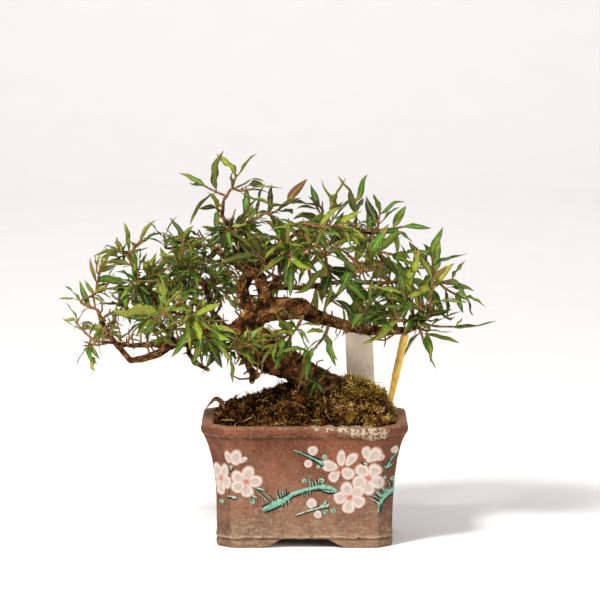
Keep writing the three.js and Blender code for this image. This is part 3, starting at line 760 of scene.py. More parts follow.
def grow_twigs(root, stops):
    """Twigs from the root through all the points: each next point joins the nearest twig."""
    twigs = [[root]]
    waiting = list(stops)

    def price(choice):
        stop, twig, index = choice
        at_end = index == len(twig) - 1
        return (stop - twig[index]).length * (1 if at_end else FORK_COST)

    while waiting:
        choices = [(stop, twig, index) for stop in waiting for twig in twigs for index in range(len(twig))]
        stop, twig, index = min(choices, key=price)
        waiting.remove(stop)
        if index == len(twig) - 1:
            twig.append(stop)
        else:
            twigs.append([twig[index], stop])
    return twigs


def pose_leaf(base, tangent, turn, kind, length, pick):
    """A leaf that stands off a twig as its kind does, with its face to the light."""
    leans, lengths = kind
    lean = math.radians(pick.uniform(*leans))
    length *= pick.uniform(*lengths)
    first = perpendicular(tangent, UP)
    around = first * math.cos(turn) + tangent.cross(first) * math.sin(turn)
    direction = tangent * math.cos(lean) + around * math.sin(lean)
    aside = [pick.uniform(-LIGHT_SPREAD, LIGHT_SPREAD) for _ in range(2)]
    upper = perpendicular(direction, Vector((*aside, 1)) + tangent * LIGHT_ALONG)
    sag = upper * (-length * pick.uniform(*DROOP))
    return Leaf(base, direction * length, sag, upper, HALF_WIDTH_SHARE * length)


def near_crown(point, reach):
    return crown.find(point)[2] < reach * MM


def leaf_clears(leaf):
    """Whether a further leaf keeps off the wood, the pot and the leaves already there."""
    if not near_crown(leaf.at(1), CROWN_REACH):
        return False
    return all(point_clears(leaf.at(share), LEAF_CLEARANCE) for share in (0.35, 0.6, 0.85, 1.0))


def point_clears(point, clearance):
    if not inside_box(point):
        return False
    if any((point - other).length < clearance * MM for other in leaf_points_near(point)):
        return False
    return all(tree.find_nearest(point)[3] > WOOD_CLEARANCE * MM for tree in obstacles)


def inside_box(point):
    return all(low <= value <= high for low, value, high in zip(CAD_BOX[0], point, CAD_BOX[1]))


def grows(point, bonus, pick):
    """Whether a further leaf or twig that ends at a point grows."""
    place = (point - POT_MIDDLE) / MM
    share = LEAFINESS + bonus
    for x, z, reach, change in LEAFY_SPOTS:
        share += change * math.exp(-((place.x - x) ** 2 + (place.z - z) ** 2) / reach ** 2)
    return pick.random() < share


leaf_grid = {}
crown = KDTree(len(SHOOTS) * CROWN_ROOM)


def grid_cell(point):
    return tuple(int(math.floor(value / (GRID_CELL * MM))) for value in point)


def leaf_points_near(point):
    x, y, z = grid_cell(point)
    for step in itertools.product((-1, 0, 1), repeat=3):
        yield from leaf_grid.get((x + step[0], y + step[1], z + step[2]), ())


def remember_leaf(leaf):
    for step in range(4, 21):
        point = leaf.at(step / 20)
        leaf_grid.setdefault(grid_cell(point), []).append(point)


def twig_grows(line, reach, pick):
    """Whether a further twig grows within reach of the crown, clear of what is there."""
    wanted = grows(line[-1], TWIG_BONUS, pick) and near_crown(line[-1], reach)
    return wanted and all(point_clears(point, SIDE_CLEARANCE) for point in line[1:])


def bent(start, reach, towards, share):
    """Three points of a line that bends aside by a share of its length."""
    bend = perpendicular(reach.normalized(), towards) * reach.length * share
    return [start, start + reach * 0.5 + bend, start + reach]


def side_twigs(twigs, pick):
    """Short twigs that fork from the given ones wherever there is room."""
    sides = []
    spacing = SIDE_SPACING * MM
    for twig in twigs:
        line = smooth_line(twig, LINE_STEPS)
        for place, tangent in stations(line, spacing, spacing * pick.uniform(0.2, 0.8)):
            lean = math.radians(pick.uniform(*SIDE_LEAN))
            around = perpendicular(tangent, stray(pick, 1, 0.5, 1))
            reach = (tangent * math.cos(lean) + around * math.sin(lean)) * pick.uniform(*SIDE_LENGTH) * MM
            side = bent(place, reach, UP, -SIDE_BEND)
            if twig_grows(side, CROWN_REACH, pick):
                sides.append(side)
    return sides


def wood_thickness(tree, point, normal):
    """How thick the wood is under a point of its surface, in millimetres."""
    hit = tree.ray_cast(point - normal * 0.05 * MM, -normal)
    return hit[3] / MM if hit[0] else FULL_BARK


def wood_shoots(roots):
    """Short twigs from the thinner branches, listed for the node whose root is nearest."""
    pick = random.Random("wood shoots")
    shoots = {node: [] for node in roots}
    taken = []
    for point, normal in surface_places(NODES["trunk_and_branches"], WOOD_SHOOTS, 21, -1):
        aim = stray(pick, 0.4, WOOD_SHOOT_RISE, 0.2)
        reach = (normal * 0.8 + aim).normalized() * pick.uniform(*WOOD_SHOOT_LENGTH) * MM
        line = [point - normal * SHOOT_SINK * MM, *bent(point, reach, aim.yzx, SIDE_BEND)[1:]]
        if point.z < WOOD_SHOOT_FLOOR * MM or wood_thickness(wood_tree, point, normal) > THIN_WOOD:
            continue
        if any((point - other).length < WOOD_SHOOT_SPACING * MM for other in taken):
            continue
        if twig_grows(line, WOOD_CROWN_REACH, pick):
            taken.append(point)
            shoots[min(roots, key=lambda node: (roots[node] - point).length)].append(line)
    return shoots


def further_leaves(twigs, length, pick):
    """Pairs of leaves between the ones that the solids have, and young ones at the twigs' ends."""
    leaves = []
    spacing = EXTRA_SPACING * MM
    for twig in twigs:
        line = smooth_line(twig, LINE_STEPS)
        gone = spacing * pick.uniform(0.4, 0.7)
        turn = pick.uniform(0, math.pi)
        for place, tangent in stations(line, spacing, gone):
            turn += math.pi / 2 + pick.uniform(-EXTRA_TURN, EXTRA_TURN)
            for side in (0, math.pi):
                leaf = pose_leaf(place, tangent, turn + side, EXTRA_LEAF, length, pick)
                if grows(leaf.at(1), 0, pick) and leaf_clears(leaf):
                    remember_leaf(leaf)
                    leaves.append(leaf)
        tangent = (line[-1] - line[-2]).normalized()
        for side in (0, math.pi):
            leaf = pose_leaf(line[-1], tangent, turn + side, YOUNG_LEAF, length, pick)
            leaf.young = True
            wanted = grows(leaf.at(1), YOUNG_BONUS, pick)
            if wanted and inside_box(leaf.at(1)) and near_crown(leaf.at(1), CROWN_REACH):
                leaves.append(leaf)
    return leaves


def blade_outline(share):
    """A blade's half width as a share of its widest, from its stalk to its drawn-out tip."""
    body = math.sin(math.pi * share ** 0.8) ** 0.88 if 0 < share < 1 else 0
    return body * smooth_step(share, 0.0, 0.2)


# One cross-section's points, round from the left margin over the top and back below, as
# places from -1 to 1 across the blade and which face they are on.
SECTION = [(-1, 0), (-0.5, 0), (0, 0), (0.5, 0), (1, 0), (0.5, 1), (0, 1), (-0.5, 1)]
BLADE_FACES = bar_faces(BLADE_ROWS + 1, len(SECTION))


def soft_draw(pick, middle, spread):
    """A normal draw that stays within one and a half spreads."""
    return middle + spread * min(max(pick.gauss(0, 1), -1.5), 1.5)


def add_blade(batch, leaf, pick, tint=None):
    """A thin blade, folded a little along its midrib, with waved margins and a short stalk."""
    fold = pick.uniform(*FOLD)
    wave = pick.uniform(*WAVE)
    phase = pick.uniform(0, math.tau)
    roll = pick.gauss(0, ROLL)
    twist = pick.gauss(0, TWIST)
    length = leaf.run.length
    leaf.half_width *= pick.uniform(*WIDTH_SPREAD)
    leaf.sag += leaf.upper * (length * soft_draw(pick, *ARCH))
    leaf.sag += leaf.run.cross(leaf.upper) * soft_draw(pick, 0, SWEEP)
    bow = leaf.upper * (length * pick.gauss(0, BOW))
    points = []
    blade = []
    for row in range(BLADE_ROWS + 1):
        share = row / BLADE_ROWS
        tangent = (leaf.run + 2 * leaf.sag * share).normalized()
        upper = Matrix.Rotation(roll + twist * share, 3, tangent) @ perpendicular(tangent, leaf.upper)
        side = tangent.cross(upper)
        stalk = 1 - smooth_step(share, *STALK_END)
        reach = leaf.half_width * blade_outline(share) + PETIOLE_HALF_WIDTH * MM * between(0.15, 1, stalk)
        thickness = BLADE_THICKNESS * MM * between(1, 2.2, stalk)
        middle = leaf.at(share) + bow * math.sin(math.tau * share)
        for across, below in SECTION:
            ripple = wave * across ** 2 * math.sin(WAVES * math.tau * share + phase)
            rise = reach * (1 - stalk) * (fold * abs(across) + ripple)
            skin = thickness * (1 - across ** 2) * (-0.6 if below else 0.4)
            points.append(middle + side * (reach * across) + upper * (rise + skin))
            blade.append((share, across, below))
    batch.add(points, BLADE_FACES, blade=blade, tint=leaf_tint(leaf, pick) if tint is None else tint)


def leaf_tint(leaf, pick):
    """Greens that vary in patches through the crown and are darker, as painted shade, where leaves crowd,
    with a few yellowing or red leaves.
    """
    if leaf.young:
        return pick.uniform(*YOUNG_TINT)
    chance = pick.random()
    for share, low, high in ODD_TINTS:
        if chance < share:
            return pick.uniform(low, high)
    # Painted shade: the more leaves round this one, the darker its tint.
    around = len(crown.find_range(leaf.at(0.5), SHADE_REACH * MM))
    shade = SHADE * (0.5 - min(around / SHADE_COUNT, 1))
    patch = LEAF_TINT + shade + TINT_PATCH * fractal(leaf.at(0.5), PATCH_SIZE, 2)
    return min(max(patch + pick.gauss(0, TINT_SPREAD), 0.0), TINT_TOP)


def add_twig(batch, twig, radii):
    """A twig with a bud at its end, a little thicker where it has leaves."""
    bud = twig[-1] + (twig[-1] - twig[-2]).normalized() * BUD_LENGTH * MM
    line = smooth_line([*twig, bud], TWIG_STEPS)
    last = len(line) - 1
    widths = []
    for index in range(last + 1):
        knuckle = 1.22 if index % TWIG_STEPS == 0 and 0 < index < last else 1
        taper = 0.35 if index == last else 1
        widths.append(between(*radii, index / last) * knuckle * taper * MM)
    points, faces = tube(line, widths, TWIG_SIDES)
    shares = [index / last for index in range(last + 1) for _ in range(TWIG_SIDES)]
    batch.add(points, faces, 1, blade=(0.0, 0.0, 0.0), tint=shares)


def make_foliage(materials):
    shoots = {node: read_shoot(node) for node in SHOOTS}
    for leaf in itertools.chain(*(leaves for leaves, _, _ in shoots.values())):
        remember_leaf(leaf)
        for step in range(11):
            crown.insert(leaf.at(step / 10), 0)
    crown.balance()
    from_wood = wood_shoots({node: root for node, (_, _, root) in shoots.items()})
    for node, (leaves, stops, root) in shoots.items():
        pick = random.Random(node)
        twigs = grow_twigs(root, stops)
        length = sum(leaf.run.length for leaf in leaves) / len(leaves)
        batch = Batch()
        sides = side_twigs(twigs, pick) + from_wood[node]
        leafy = [side for side in sides if pick.random() > BARE_SHARE]
        for leaf in leaves + further_leaves(twigs + leafy, length, pick):
            add_blade(batch, leaf, pick)
        for index, twig in enumerate(twigs):
            add_twig(batch, twig, FORK_RADII if index else TWIG_RADII)
        for side in sides:
            add_twig(batch, side, SIDE_RADII)
        batch_piece(f"{node}_foliage", batch, materials, [node])


# Wood

# Bark is roughest on wood this thick, in millimetres, and smoother on thinner wood.
FULL_BARK = 16
BARK_DEPTH = 2.0
# Where pale cut ends of old branches show, from the pot's middle in millimetres.
CUT_ENDS = [(-25, -16, 95), (-30, -16, 90), (-53, -12, 98)]
CUT_REACH = 3.0
SPURS = 170
SPUR_FLOOR = 92
SPUR_LENGTH = (2.2, 8)
SPUR_RADIUS = (0.3, 0.75)
SPUR_SINK = 0.7
SPUR_BEND = 0.25


def bark_relief(point):
    """The bark's height from about 0 in its cracks to 1 on its plates."""
    warp = Vector((fractal(point, 4.0), fractal(point.yzx, 4.0), fractal(point.zxy, 4.0)))
    warped = point + warp * 1.4 * MM
    plates = min(cell_edges(warped, 3.8) * 2.4, 1)
    scales = min(cell_edges(warped, 1.9) * 1.8, 1)
    return 0.45 + 0.34 * fractal(point, 6.0, 4) + 0.22 * (plates - 0.6) + 0.3 * (scales - 0.6)


def cut_amount(point):
    """1 on a cut end, and 0 away from one."""
    reach = min((point - POT_MIDDLE - Vector(end) * MM).length for end in CUT_ENDS) / MM
    return 1 - smooth_step(reach + 0.8 * fractal(point, 2.0, 2), CUT_REACH - 1, CUT_REACH)


def make_wood(material):
    piece = remeshed("trunk_bark", "trunk_and_branches")
    tree = tree_of(piece)
    relief = []

    def rise(point, normal):
        share = min(wood_thickness(tree, point, normal) / FULL_BARK, 1)
        relief.append(bark_relief(point))
        return BARK_DEPTH * between(0.12, 1, share) * (relief[-1] - 0.5)

    raise_surface(piece, rise)
    store(piece.data, "relief", relief)
    store(piece.data, "cut", [cut_amount(vertex.co) for vertex in piece.data.vertices])
    return dress(piece, [material], ["trunk_and_branches"])


def make_spurs(wood, material):
    """Short dead spurs and bud stumps all over the branches."""
    pick = random.Random("spurs")
    batch = Batch()
    places = surface_places(wood, 3 * SPURS, 11, -1)
    for point, normal in [place for place in places if place[0].z > SPUR_FLOOR * MM][:SPURS]:
        tilt = Vector((pick.uniform(-1, 1), pick.uniform(-1, 1), pick.uniform(-0.3, 1)))
        direction = (normal + 0.7 * tilt).normalized()
        length = pick.uniform(*SPUR_LENGTH) * MM
        bend = perpendicular(direction, tilt) * length * SPUR_BEND
        start = point - normal * SPUR_SINK * MM
        line = smooth_line([start, start + direction * length * 0.5 + bend, start + direction * length], 3)
        radius = pick.uniform(*SPUR_RADIUS) * MM
        radii = [radius * between(1.3, 0.7, index / (len(line) - 1)) for index in range(len(line))]
        batch.add(*tube(line, radii, 5), relief=pick.uniform(0.3, 0.8), cut=0.0)
    return batch_piece("bark_spurs", batch, [material])


# Moss

# Moss grows in clumps about this wide.
CLUMP = 6.6
CLUMP_HEIGHT = 4.2
# The moss lies lower on the left of the trunk: x from the pot's middle, depth and reach.
DIP = (-29, 2.4, 14)
TUFTS = 8400
MOSS_STEEPEST = 0.2
# Crumbs' sizes and tints, of soil and of paler grit, and the share of grit.
CRUMBS = 300
SOIL_CRUMB = ((0.5, 1.8), (0.0, 0.5))
GRIT = ((0.35, 0.8), (0.6, 0.9))
GRIT_SHARE = 0.25
ROOTLETS = 16
ROOTLET_REACH = (2.5, 6)
ROOTLET_HEIGHT = (2.2, 3.6)
ROOTLET_RADIUS = 0.14
LITTER = 9
LITTER_LENGTH = (5, 9)
LITTER_HALF_WIDTH = 1.1
LITTER_LIFT = 1.4
# The dry leaf over the rim: its base from the pot's middle, its run and its sag in millimetres.
RIM_LEAF = [(-45.5, -16, 76), (-6, 0, 25), (-6, 0, -26)]
RIM_LEAF_UPPER = (0, -1, 0.3)
RIM_LEAF_HALF_WIDTH = 1.9
# A strand's sections: share of its length and of its radius.
STRAND = [(-0.1, 1.0), (0.35, 1.0), (0.7, 0.7)]
STRAND_LENGTH = (1.0, 3.0)
STRAND_RADIUS = (0.2, 0.46)
STRAND_BEND = (0.4, 1.3)
STRAND_FACES = [*bar_faces(len(STRAND), 3)[:-1], (6, 7, 9), (7, 8, 9), (8, 6, 9)]


def clump_of(point):
    """The distance from the middle of the clump round a point, as a share of its size, and that middle."""
    distances, middles = noise.voronoi(point / (CLUMP * MM))
    return distances[0], middles[0] * CLUMP * MM


def moss_tint(point):
    """Dark brown on the left and paler on the right, each clump a little different and darker towards its
    edge, as painted shade in the hollows between clumps.
    """
    across = (point.x - POT_MIDDLE.x) / (50 * MM)
    far, middle = clump_of(point)
    own = 0.12 * noise.cell(middle / MM)
    # Painted shade in the hollows between clumps.
    hollow_shade = 0.36 * smooth_step(far, 0.25, 0.7)
    return 0.33 + 0.2 * smooth_step(across, -0.4, 0.6) + 0.2 * fractal(point, 11.0, 3) + own - hollow_shade


def make_moss(material):
    piece = remeshed("moss_bed", "moss")
    middle, depth, reach = DIP

    def rise(point, normal):
        dome = CLUMP_HEIGHT * (0.42 - clump_of(point)[0])
        dip = depth * hump((point.x - POT_MIDDLE.x) / MM, middle, reach)
        bumps = dome - dip + 0.9 * fractal(point, 6.0, 4) + 0.5 * fractal(point, 2.0, 2) - 0.6
        return smooth_step(normal.z, 0.1, 0.6) * bumps

    raise_surface(piece, rise)
    store(piece.data, "tint", [moss_tint(vertex.co) - 0.22 for vertex in piece.data.vertices])
    return dress(piece, [material], ["moss"])


def add_strand(batch, point, normal, pick):
    """One curled strand with three sides, which leans out from the middle of its clump."""
    out = point - clump_of(point)[1]
    direction = (normal + (out / (CLUMP * MM) * 1.5 + stray(pick, 0.6, 0, 0.3))).normalized()
    curl = perpendicular(direction, stray(pick, 1, -0.5, 1))
    side = direction.cross(curl)
    length = pick.uniform(*STRAND_LENGTH) * MM
    radius = pick.uniform(*STRAND_RADIUS) * MM
    bend = pick.uniform(*STRAND_BEND)

    def at(share):
        return point + length * (direction * share + curl * bend * share * share)

    points = []
    for (share, width), corner in itertools.product(STRAND, range(3)):
        angle = math.tau * corner / 3
        points.append(at(share) + radius * width * (curl * math.cos(angle) + side * math.sin(angle)))
    points.append(at(1))
    tint = moss_tint(point) + pick.gauss(0.04, 0.1)
    tip = tint + pick.uniform(0.05, 0.5)
    batch.add(points, STRAND_FACES, tint=[tint - 0.2] * 3 + [tint] * 3 + [(tint + tip) / 2] * 3 + [tip])


def add_crumb(batch, point, pick):
    """A rough lump of soil or grit."""
    sizes, tints = GRIT if pick.random() < GRIT_SHARE else SOIL_CRUMB
    size = pick.uniform(*sizes)
    tint = pick.uniform(*tints)
    lump = bmesh.new()
    bmesh.ops.create_icosphere(lump, subdivisions=2, radius=1)
    stretch = Vector([size * pick.uniform(0.6, 1.2) * MM for _ in range(3)])
    turn = Matrix.Rotation(pick.uniform(0, math.tau), 3, Vector((pick.random(), pick.random(), 1)))
    seed = Vector((pick.random() * 90, 0, 0))
    points = []
    for vert in lump.verts:
        rough = 1 + 0.35 * noise.noise(vert.co * 1.7 + seed)
        points.append(point + turn @ (vert.co * stretch * rough))
    faces = [tuple(vert.index for vert in face.verts) for face in lump.faces]
    lump.free()
    batch.add(points, faces, tint=tint)


def along_surface(normal, pick):
    turn = pick.uniform(0, math.tau)
    return perpendicular(normal, Vector((math.cos(turn), math.sin(turn), 0)))


def add_rootlet(batch, point, normal, pick):
    """A pale thread that arches out of the moss and back into it."""
    along = along_surface(normal, pick)
    reach = pick.uniform(*ROOTLET_REACH) * MM
    height = normal * pick.uniform(*ROOTLET_HEIGHT) * MM
    aside = along.cross(normal) * reach * pick.uniform(-0.5, 0.5)
    line = smooth_line([point - along * reach, point + height + aside, point + along * reach], 5)
    batch.add(*tube(line, [ROOTLET_RADIUS * MM] * len(line), 4), tint=pick.uniform(0.8, 1.0))


def make_tufts(bed, material):
    """The moss's strands, crumbs of soil and a few rootlets."""
    pick = random.Random("tufts")
    batch = Batch()
    for point, normal in surface_places(bed, TUFTS, 3, MOSS_STEEPEST):
        add_strand(batch, point, normal, pick)
    for point, _ in surface_places(bed, CRUMBS, 5, MOSS_STEEPEST):
        add_crumb(batch, point, pick)
    for point, normal in surface_places(bed, ROOTLETS, 9, 0.5):
        add_rootlet(batch, point, normal, pick)
    return batch_piece("moss_tufts", batch, [material])


def make_litter(bed, materials):
    """Dry leaves in the moss, one of them arched over the pot's left rim."""
    pick = random.Random("litter")
    batch = Batch()
    base, run, sag = (Vector(row) * MM for row in RIM_LEAF)
    leaves = [Leaf(base + POT_MIDDLE, run, sag, Vector(RIM_LEAF_UPPER), RIM_LEAF_HALF_WIDTH * MM)]
    for point, normal in surface_places(bed, LITTER, 13, 0.6):
        along = along_surface(normal, pick)
        run = (along + normal * pick.uniform(0, 0.5)) * pick.uniform(*LITTER_LENGTH) * MM
        sag = normal * pick.uniform(-3, 1) * MM
        leaves.append(Leaf(point + normal * LITTER_LIFT * MM, run, sag, normal, LITTER_HALF_WIDTH * MM))
    for leaf in leaves:
        add_blade(batch, leaf, pick, pick.uniform(0.2, 0.9))
    return batch_piece("dry_leaves", batch, materials)


# Pot

UNDER_RIM = 64.0
# The lime crust on the rim's right, as x from the pot's middle, height and reach in millimetres.
CRUST = [
    (6, 69.6, 1.4), (14, 69.3, 1.8), (22, 68.7, 2.1), (30, 67.8, 2.6), (37, 66.4, 3.4), (42, 66.8, 2.8),
]


def crust_amount(point):
    """How thick the pale crust lies, from 0 to 1."""
    if (point.y - POT_MIDDLE.y) / MM > 0:
        return 0
    x = (point.x - POT_MIDDLE.x) / MM
    z = point.z / MM
    reach = max(1 - math.hypot(x - spot_x, 1.5 * (z - spot_z)) / (2.6 * spot_reach)
                for spot_x, spot_z, spot_reach in CRUST)
    return smooth_step(reach + 0.32 * fractal(point, 4.0, 4), 0.2, 0.5)


def wear_amount(point, normal):
    """How far the clay is rubbed pale, on the rim, the foot and the ledge above it."""
    z = point.z / MM
    rough = fractal(point, 5.0, 3)
    rim = 0.4 * smooth_step(z + 0.9 * rough, 68.9, 69.8)
    ledge = 0.5 * hump(z, FOOT_LEDGE + 0.9, 0.8)
    foot = (1 - smooth_step(z + rough, 3.6, 5.0)) * 0.16
    under = 0.3 if normal.z < -0.5 else 0
    return min(max(rim, ledge, foot, under), 1)


def dark_corners_and_shade_amount(point, normal):
    """How much darker the clay is: on the cut corners, and as painted shade under the rim and below the
    ledge.
    """
    z = point.z / MM
    corner = smooth_step(min(abs(normal.x), abs(normal.y)), 0.3, 0.5) * 0.5
    return min(max(corner, hump(z, UNDER_RIM, 1.5), hump(z, FOOT_LEDGE - 0.5, 0.7)), 1)


def make_pot(material):
    piece = remeshed("pot_body", "pot")
    crusts = []

    def rise(point, _):
        crusts.append(crust_amount(point))
        hand = 0.34 * fractal(point, 26.0, 2) + 0.1 * fractal(point, 5.0, 3)
        above = point.z / MM - FOOT_LEDGE
        ledge = 0.7 * hump(above, 0.9, 0.9) - 0.8 * hump(above, -0.7, 0.9)
        crust = crusts[-1] * (0.45 + 0.55 * fractal(point, 2.2, 3))
        return (hand + ledge) * smooth_step(point.z / MM, 0.4, 4) + crust

    raise_surface(piece, rise)
    store(piece.data, "crust", crusts)
    for name, amount in (("wear", wear_amount), ("dark_corners_and_shade", dark_corners_and_shade_amount)):
        store(piece.data, name, [amount(vertex.co, vertex.normal) for vertex in piece.data.vertices])
    return dress(piece, [material], ["pot"])


# Painted plum blossom, in millimetres: x from the pot's middle, and height.

PETAL_WHITE = colour(170, 158, 150)
PETAL_MILK = colour(194, 183, 175)
PETAL_RIM = colour(180, 162, 152)
PETAL_EDGE = colour(146, 116, 104)
PETAL_HALO = colour(112, 66, 49)
STAMEN_RED = colour(178, 66, 44)
BLUSH = colour(186, 100, 80)
TURQUOISE = colour(114, 160, 138)
PALE_GREEN = colour(142, 164, 142)
INK = colour(12, 20, 14)
# The colours of an oval spot from its middle to its edge.
PETAL_TONES = (PETAL_WHITE, PETAL_WHITE, PETAL_MILK, PETAL_RIM, PETAL_EDGE, PETAL_HALO)
HEART_TONES = (PETAL_MILK, BLUSH, *[STAMEN_RED] * 4)
RING_TONES = (INK, TURQUOISE, PALE_GREEN, PALE_GREEN, TURQUOISE, PETAL_HALO)

# x, height, petal reach and the petals' angles in degrees.
FLOWERS = [
    (-33.1, 38.2, 5.0, (3, 75, 149, 211, 277)),
    (35.9, 40.3, 5.3, (51, 128, 205, 271, 336)),
    (25.5, 29.0, 5.0, (37, 108, 180, 262, 335)),
]
# A flower on the narrow corner face, which shortens it from side to side.
CORNER_FLOWER = (-47.3, 39.5, 5.3, (270, 342, 54, 126, 198))
CORNER_SQUEEZE = 0.62
# Single petals: x, height, half length, half width and angle in degrees.
PETALS = [
    (20.6, 51.8, 4.8, 2.5, 89), (26.2, 51.2, 4.8, 2.6, 50), (14.2, 47.4, 4.8, 3.3, 165),
    (16.9, 41.6, 4.0, 2.9, 232), (24.2, 43.2, 4.2, 3.5, 322), (-43.0, 52.6, 3.7, 1.9, 103),
    (-38.7, 52.2, 4.7, 3.4, 82), (-34.6, 50.9, 2.6, 1.5, 35), (34.6, 55.2, 4.0, 2.5, 88),
    (39.0, 53.6, 5.4, 3.6, 42), (42.4, 52.2, 3.0, 1.7, 20),
]
BUDS = [(4.5, 56.4, 2.9), (1.9, 48.7, 2.3), (3.9, 25.6, 3.0), (7.4, 19.3, 2.3), (50.8, 55.9, 2.2)]
RINGS = [
    (-0.3, 38.6, 1.4), (9.6, 39.0, 1.5), (11.3, 52.6, 1.6), (7.8, 46.9, 1.2), (-29.3, 26.8, 1.5),
    (-47.0, 26.3, 1.3), (11.7, 20.7, 1.5), (16.1, 21.5, 1.6), (49.7, 39.0, 1.5), (45.3, 40.3, 1.0),
]
# Each stroke is its colour and its points as x, height and half width.
STROKES = [
    (TURQUOISE, [
        (-23.6, 21.8, 1.9), (-14.3, 26.2, 2.0), (-6.4, 31.0, 1.3), (0.7, 33.5, 1.1), (5.5, 34.6, 1.2),
    ]),
    (TURQUOISE, [(4.0, 34.4, 1.0), (9.4, 34.8, 1.9), (14.0, 33.6, 2.2), (18.6, 32.9, 0.9)]),
    (TURQUOISE, [(-6.4, 56.8, 0.3), (3.1, 53.0, 1.0), (10.9, 48.2, 1.6)]),
    (PALE_GREEN, [(-5.2, 18.8, 0.5), (5.4, 22.4, 0.7), (14.1, 24.9, 1.5)]),
    (PALE_GREEN, [(11.3, 24.6, 1.2), (12.5, 27.4, 0.4)]),
    (TURQUOISE, [(41.7, 20.4, 0.9), (43.7, 27.2, 1.4), (47.2, 30.8, 1.9), (50.4, 32.6, 1.9)]),
    (PALE_GREEN, [(36.8, 28.4, 0.4), (40.6, 26.6, 0.6), (43.2, 24.4, 1.0)]),
    (TURQUOISE, [(39.9, 33.4, 0.5), (42.6, 30.2, 0.8), (45.0, 28.6, 1.2)]),
    (TURQUOISE, [(43.0, 35.4, 0.6), (45.8, 32.4, 1.1), (47.4, 30.6, 1.2)]),
    (TURQUOISE, [(45.7, 45.4, 1.4), (47.6, 48.9, 1.0), (52.0, 53.4, 0.5)]),
    (TURQUOISE, [(49.2, 47.6, 0.9), (47.0, 45.8, 1.0)]),
    (PALE_GREEN, [(-43.2, 29.5, 0.7), (-38.4, 28.9, 1.0)]),
    (PALE_GREEN, [(-41.8, 44.8, 1.0), (-40.9, 47.6, 0.9)]),
    (PALE_GREEN, [(32.8, 48.8, 0.8), (35.6, 48.4, 0.7)]),
    (PALE_GREEN, [(-30.6, 30.9, 0.7), (-27.0, 28.4, 0.9)]),
    (PALE_GREEN, [(-27.4, 34.6, 0.5), (-22.6, 33.2, 0.8)]),
]
# Thin spikes that stand off the branches: x and height of the start and of the end.
SPIKES = [
    (-19.8, 26.0, -27.3, 33.0), (-17.4, 27.2, -23.4, 32.6), (-14.6, 28.2, -16.2, 33.4),
    (-10.6, 30.2, -11.4, 34.2), (3.4, 35.6, 2.6, 40.2), (6.6, 36.2, 6.0, 39.6),
    (7.8, 36.4, 8.2, 40.0), (-11.2, 26.6, -10.0, 24.2), (-1.0, 32.0, -1.2, 29.8),
    (1.4, 32.4, 1.6, 30.4), (48.4, 33.6, 47.2, 38.6), (41.0, 29.4, 37.2, 30.8),
    (-13.0, 29.4, -14.0, 32.0), (-12.0, 29.8, -12.4, 33.0), (-9.4, 27.8, -8.0, 25.8),
    (-12.6, 25.6, -12.4, 23.4), (0.2, 32.0, 0.0, 30.0), (2.8, 32.6, 3.2, 30.8),
    (4.8, 35.8, 4.0, 38.8), (50.4, 34.0, 50.2, 37.4), (43.6, 24.6, 41.4, 22.6),
]
# Short dark lines: x, height and half width of the start and of the end.
INK_LINES = [
    (-24.0, 23.6, 0.3, -20.0, 25.8, 0.35), (-21.4, 20.6, 0.3, -12.6, 24.6, 0.3),
    (-13.4, 28.4, 0.3, -8.4, 31.8, 0.4), (-6.8, 29.4, 0.25, 2.0, 32.2, 0.3),
    (7.0, 34.2, 0.3, 15.6, 33.2, 0.3), (-1.6, 55.6, 0.2, 9.8, 50.6, 0.4),
    (4.6, 51.4, 0.25, 10.4, 46.9, 0.4), (4.6, 23.2, 0.3, 8.6, 24.2, 0.3),
    (12.0, 24.8, 0.3, 12.7, 26.8, 0.4), (42.2, 21.0, 0.3, 43.2, 25.6, 0.4),
    (38.6, 29.0, 0.3, 42.4, 26.6, 0.35), (45.6, 46.8, 0.3, 48.2, 50.6, 0.4),
    (-42.6, 46.2, 0.3, -41.6, 44.0, 0.5), (31.8, 49.6, 0.4, 33.6, 47.9, 0.4),
    (-43.6, 28.6, 0.4, -41.0, 29.4, 0.3),
]
INK_WIDTH = 1.7
# The red heart of the flower that is seen from its side.
RED_HEART = [(16.4, 43.6, 0.15), (20.4, 45.6, 0.5), (23.4, 47.4, 0.15)]
# A branch has a dark line along its lower side: the line's offset and how much wider it is.
SHADOW_SHIFT = (0.2, -0.42)
SHADOW_WIDTH = 0.14
# A spike's half widths at its start and end, and its dark line's offset and half width there.
SPIKE_WIDTHS = (0.4, 0.25)
SPIKE_SHADOW = ((0.7, 0.5), (0.6, 0.3))
PETAL_SPREAD = 1.16
# A petal is this much wider towards its outer end.
PETAL_FLARE = 0.16
PETAL_WAVE = 0.05
# How far paint stands off the clay and reaches into it. Spots and strokes each lie a step
# higher than the last one, for this many of them, and then start again.
PAINT_LIFT = 0.22
PAINT_SINK = -0.35
OVAL_STEP = (0.035, 5)
STROKE_STEP = (0.03, 4)
SPIKE_LIFT = PAINT_LIFT + 0.12
BRANCH_LIFT = PAINT_LIFT + 0.16
INK_LIFT = PAINT_LIFT + 0.2
HEART_LIFT = PAINT_LIFT + 0.25
OVAL_SIDES = 28
HEART = 1.15
# A flower's petals' half length and half width as shares of its reach.
PETAL_SHARES = (0.86, 0.72)
# Its stamens: where they start, where the shortest and the longest end, and their half widths.
STAMENS = 10
STAMEN_START = 1.1
STAMEN_END = (2.1, 3.1)
STAMEN_WIDTHS = (0.2, 0.14)
# A petal's rings: share of its size and share of the paint's height.
OVAL_RINGS = [(0.4, 1.0), (0.64, 1.0), (0.76, 0.85), (0.88, 0.4), (1.0, 0.05)]
# Points across a stroke: place from -1 to 1 and share of the paint's height, or nothing below the clay.
STROKE_SECTION = [(-1, 0.05), (-0.6, 0.85), (0, 1), (0.6, 0.85), (1, 0.05), (1, None), (-1, None)]
STROKE_LEAST = 0.12
STROKE_END = 0.55


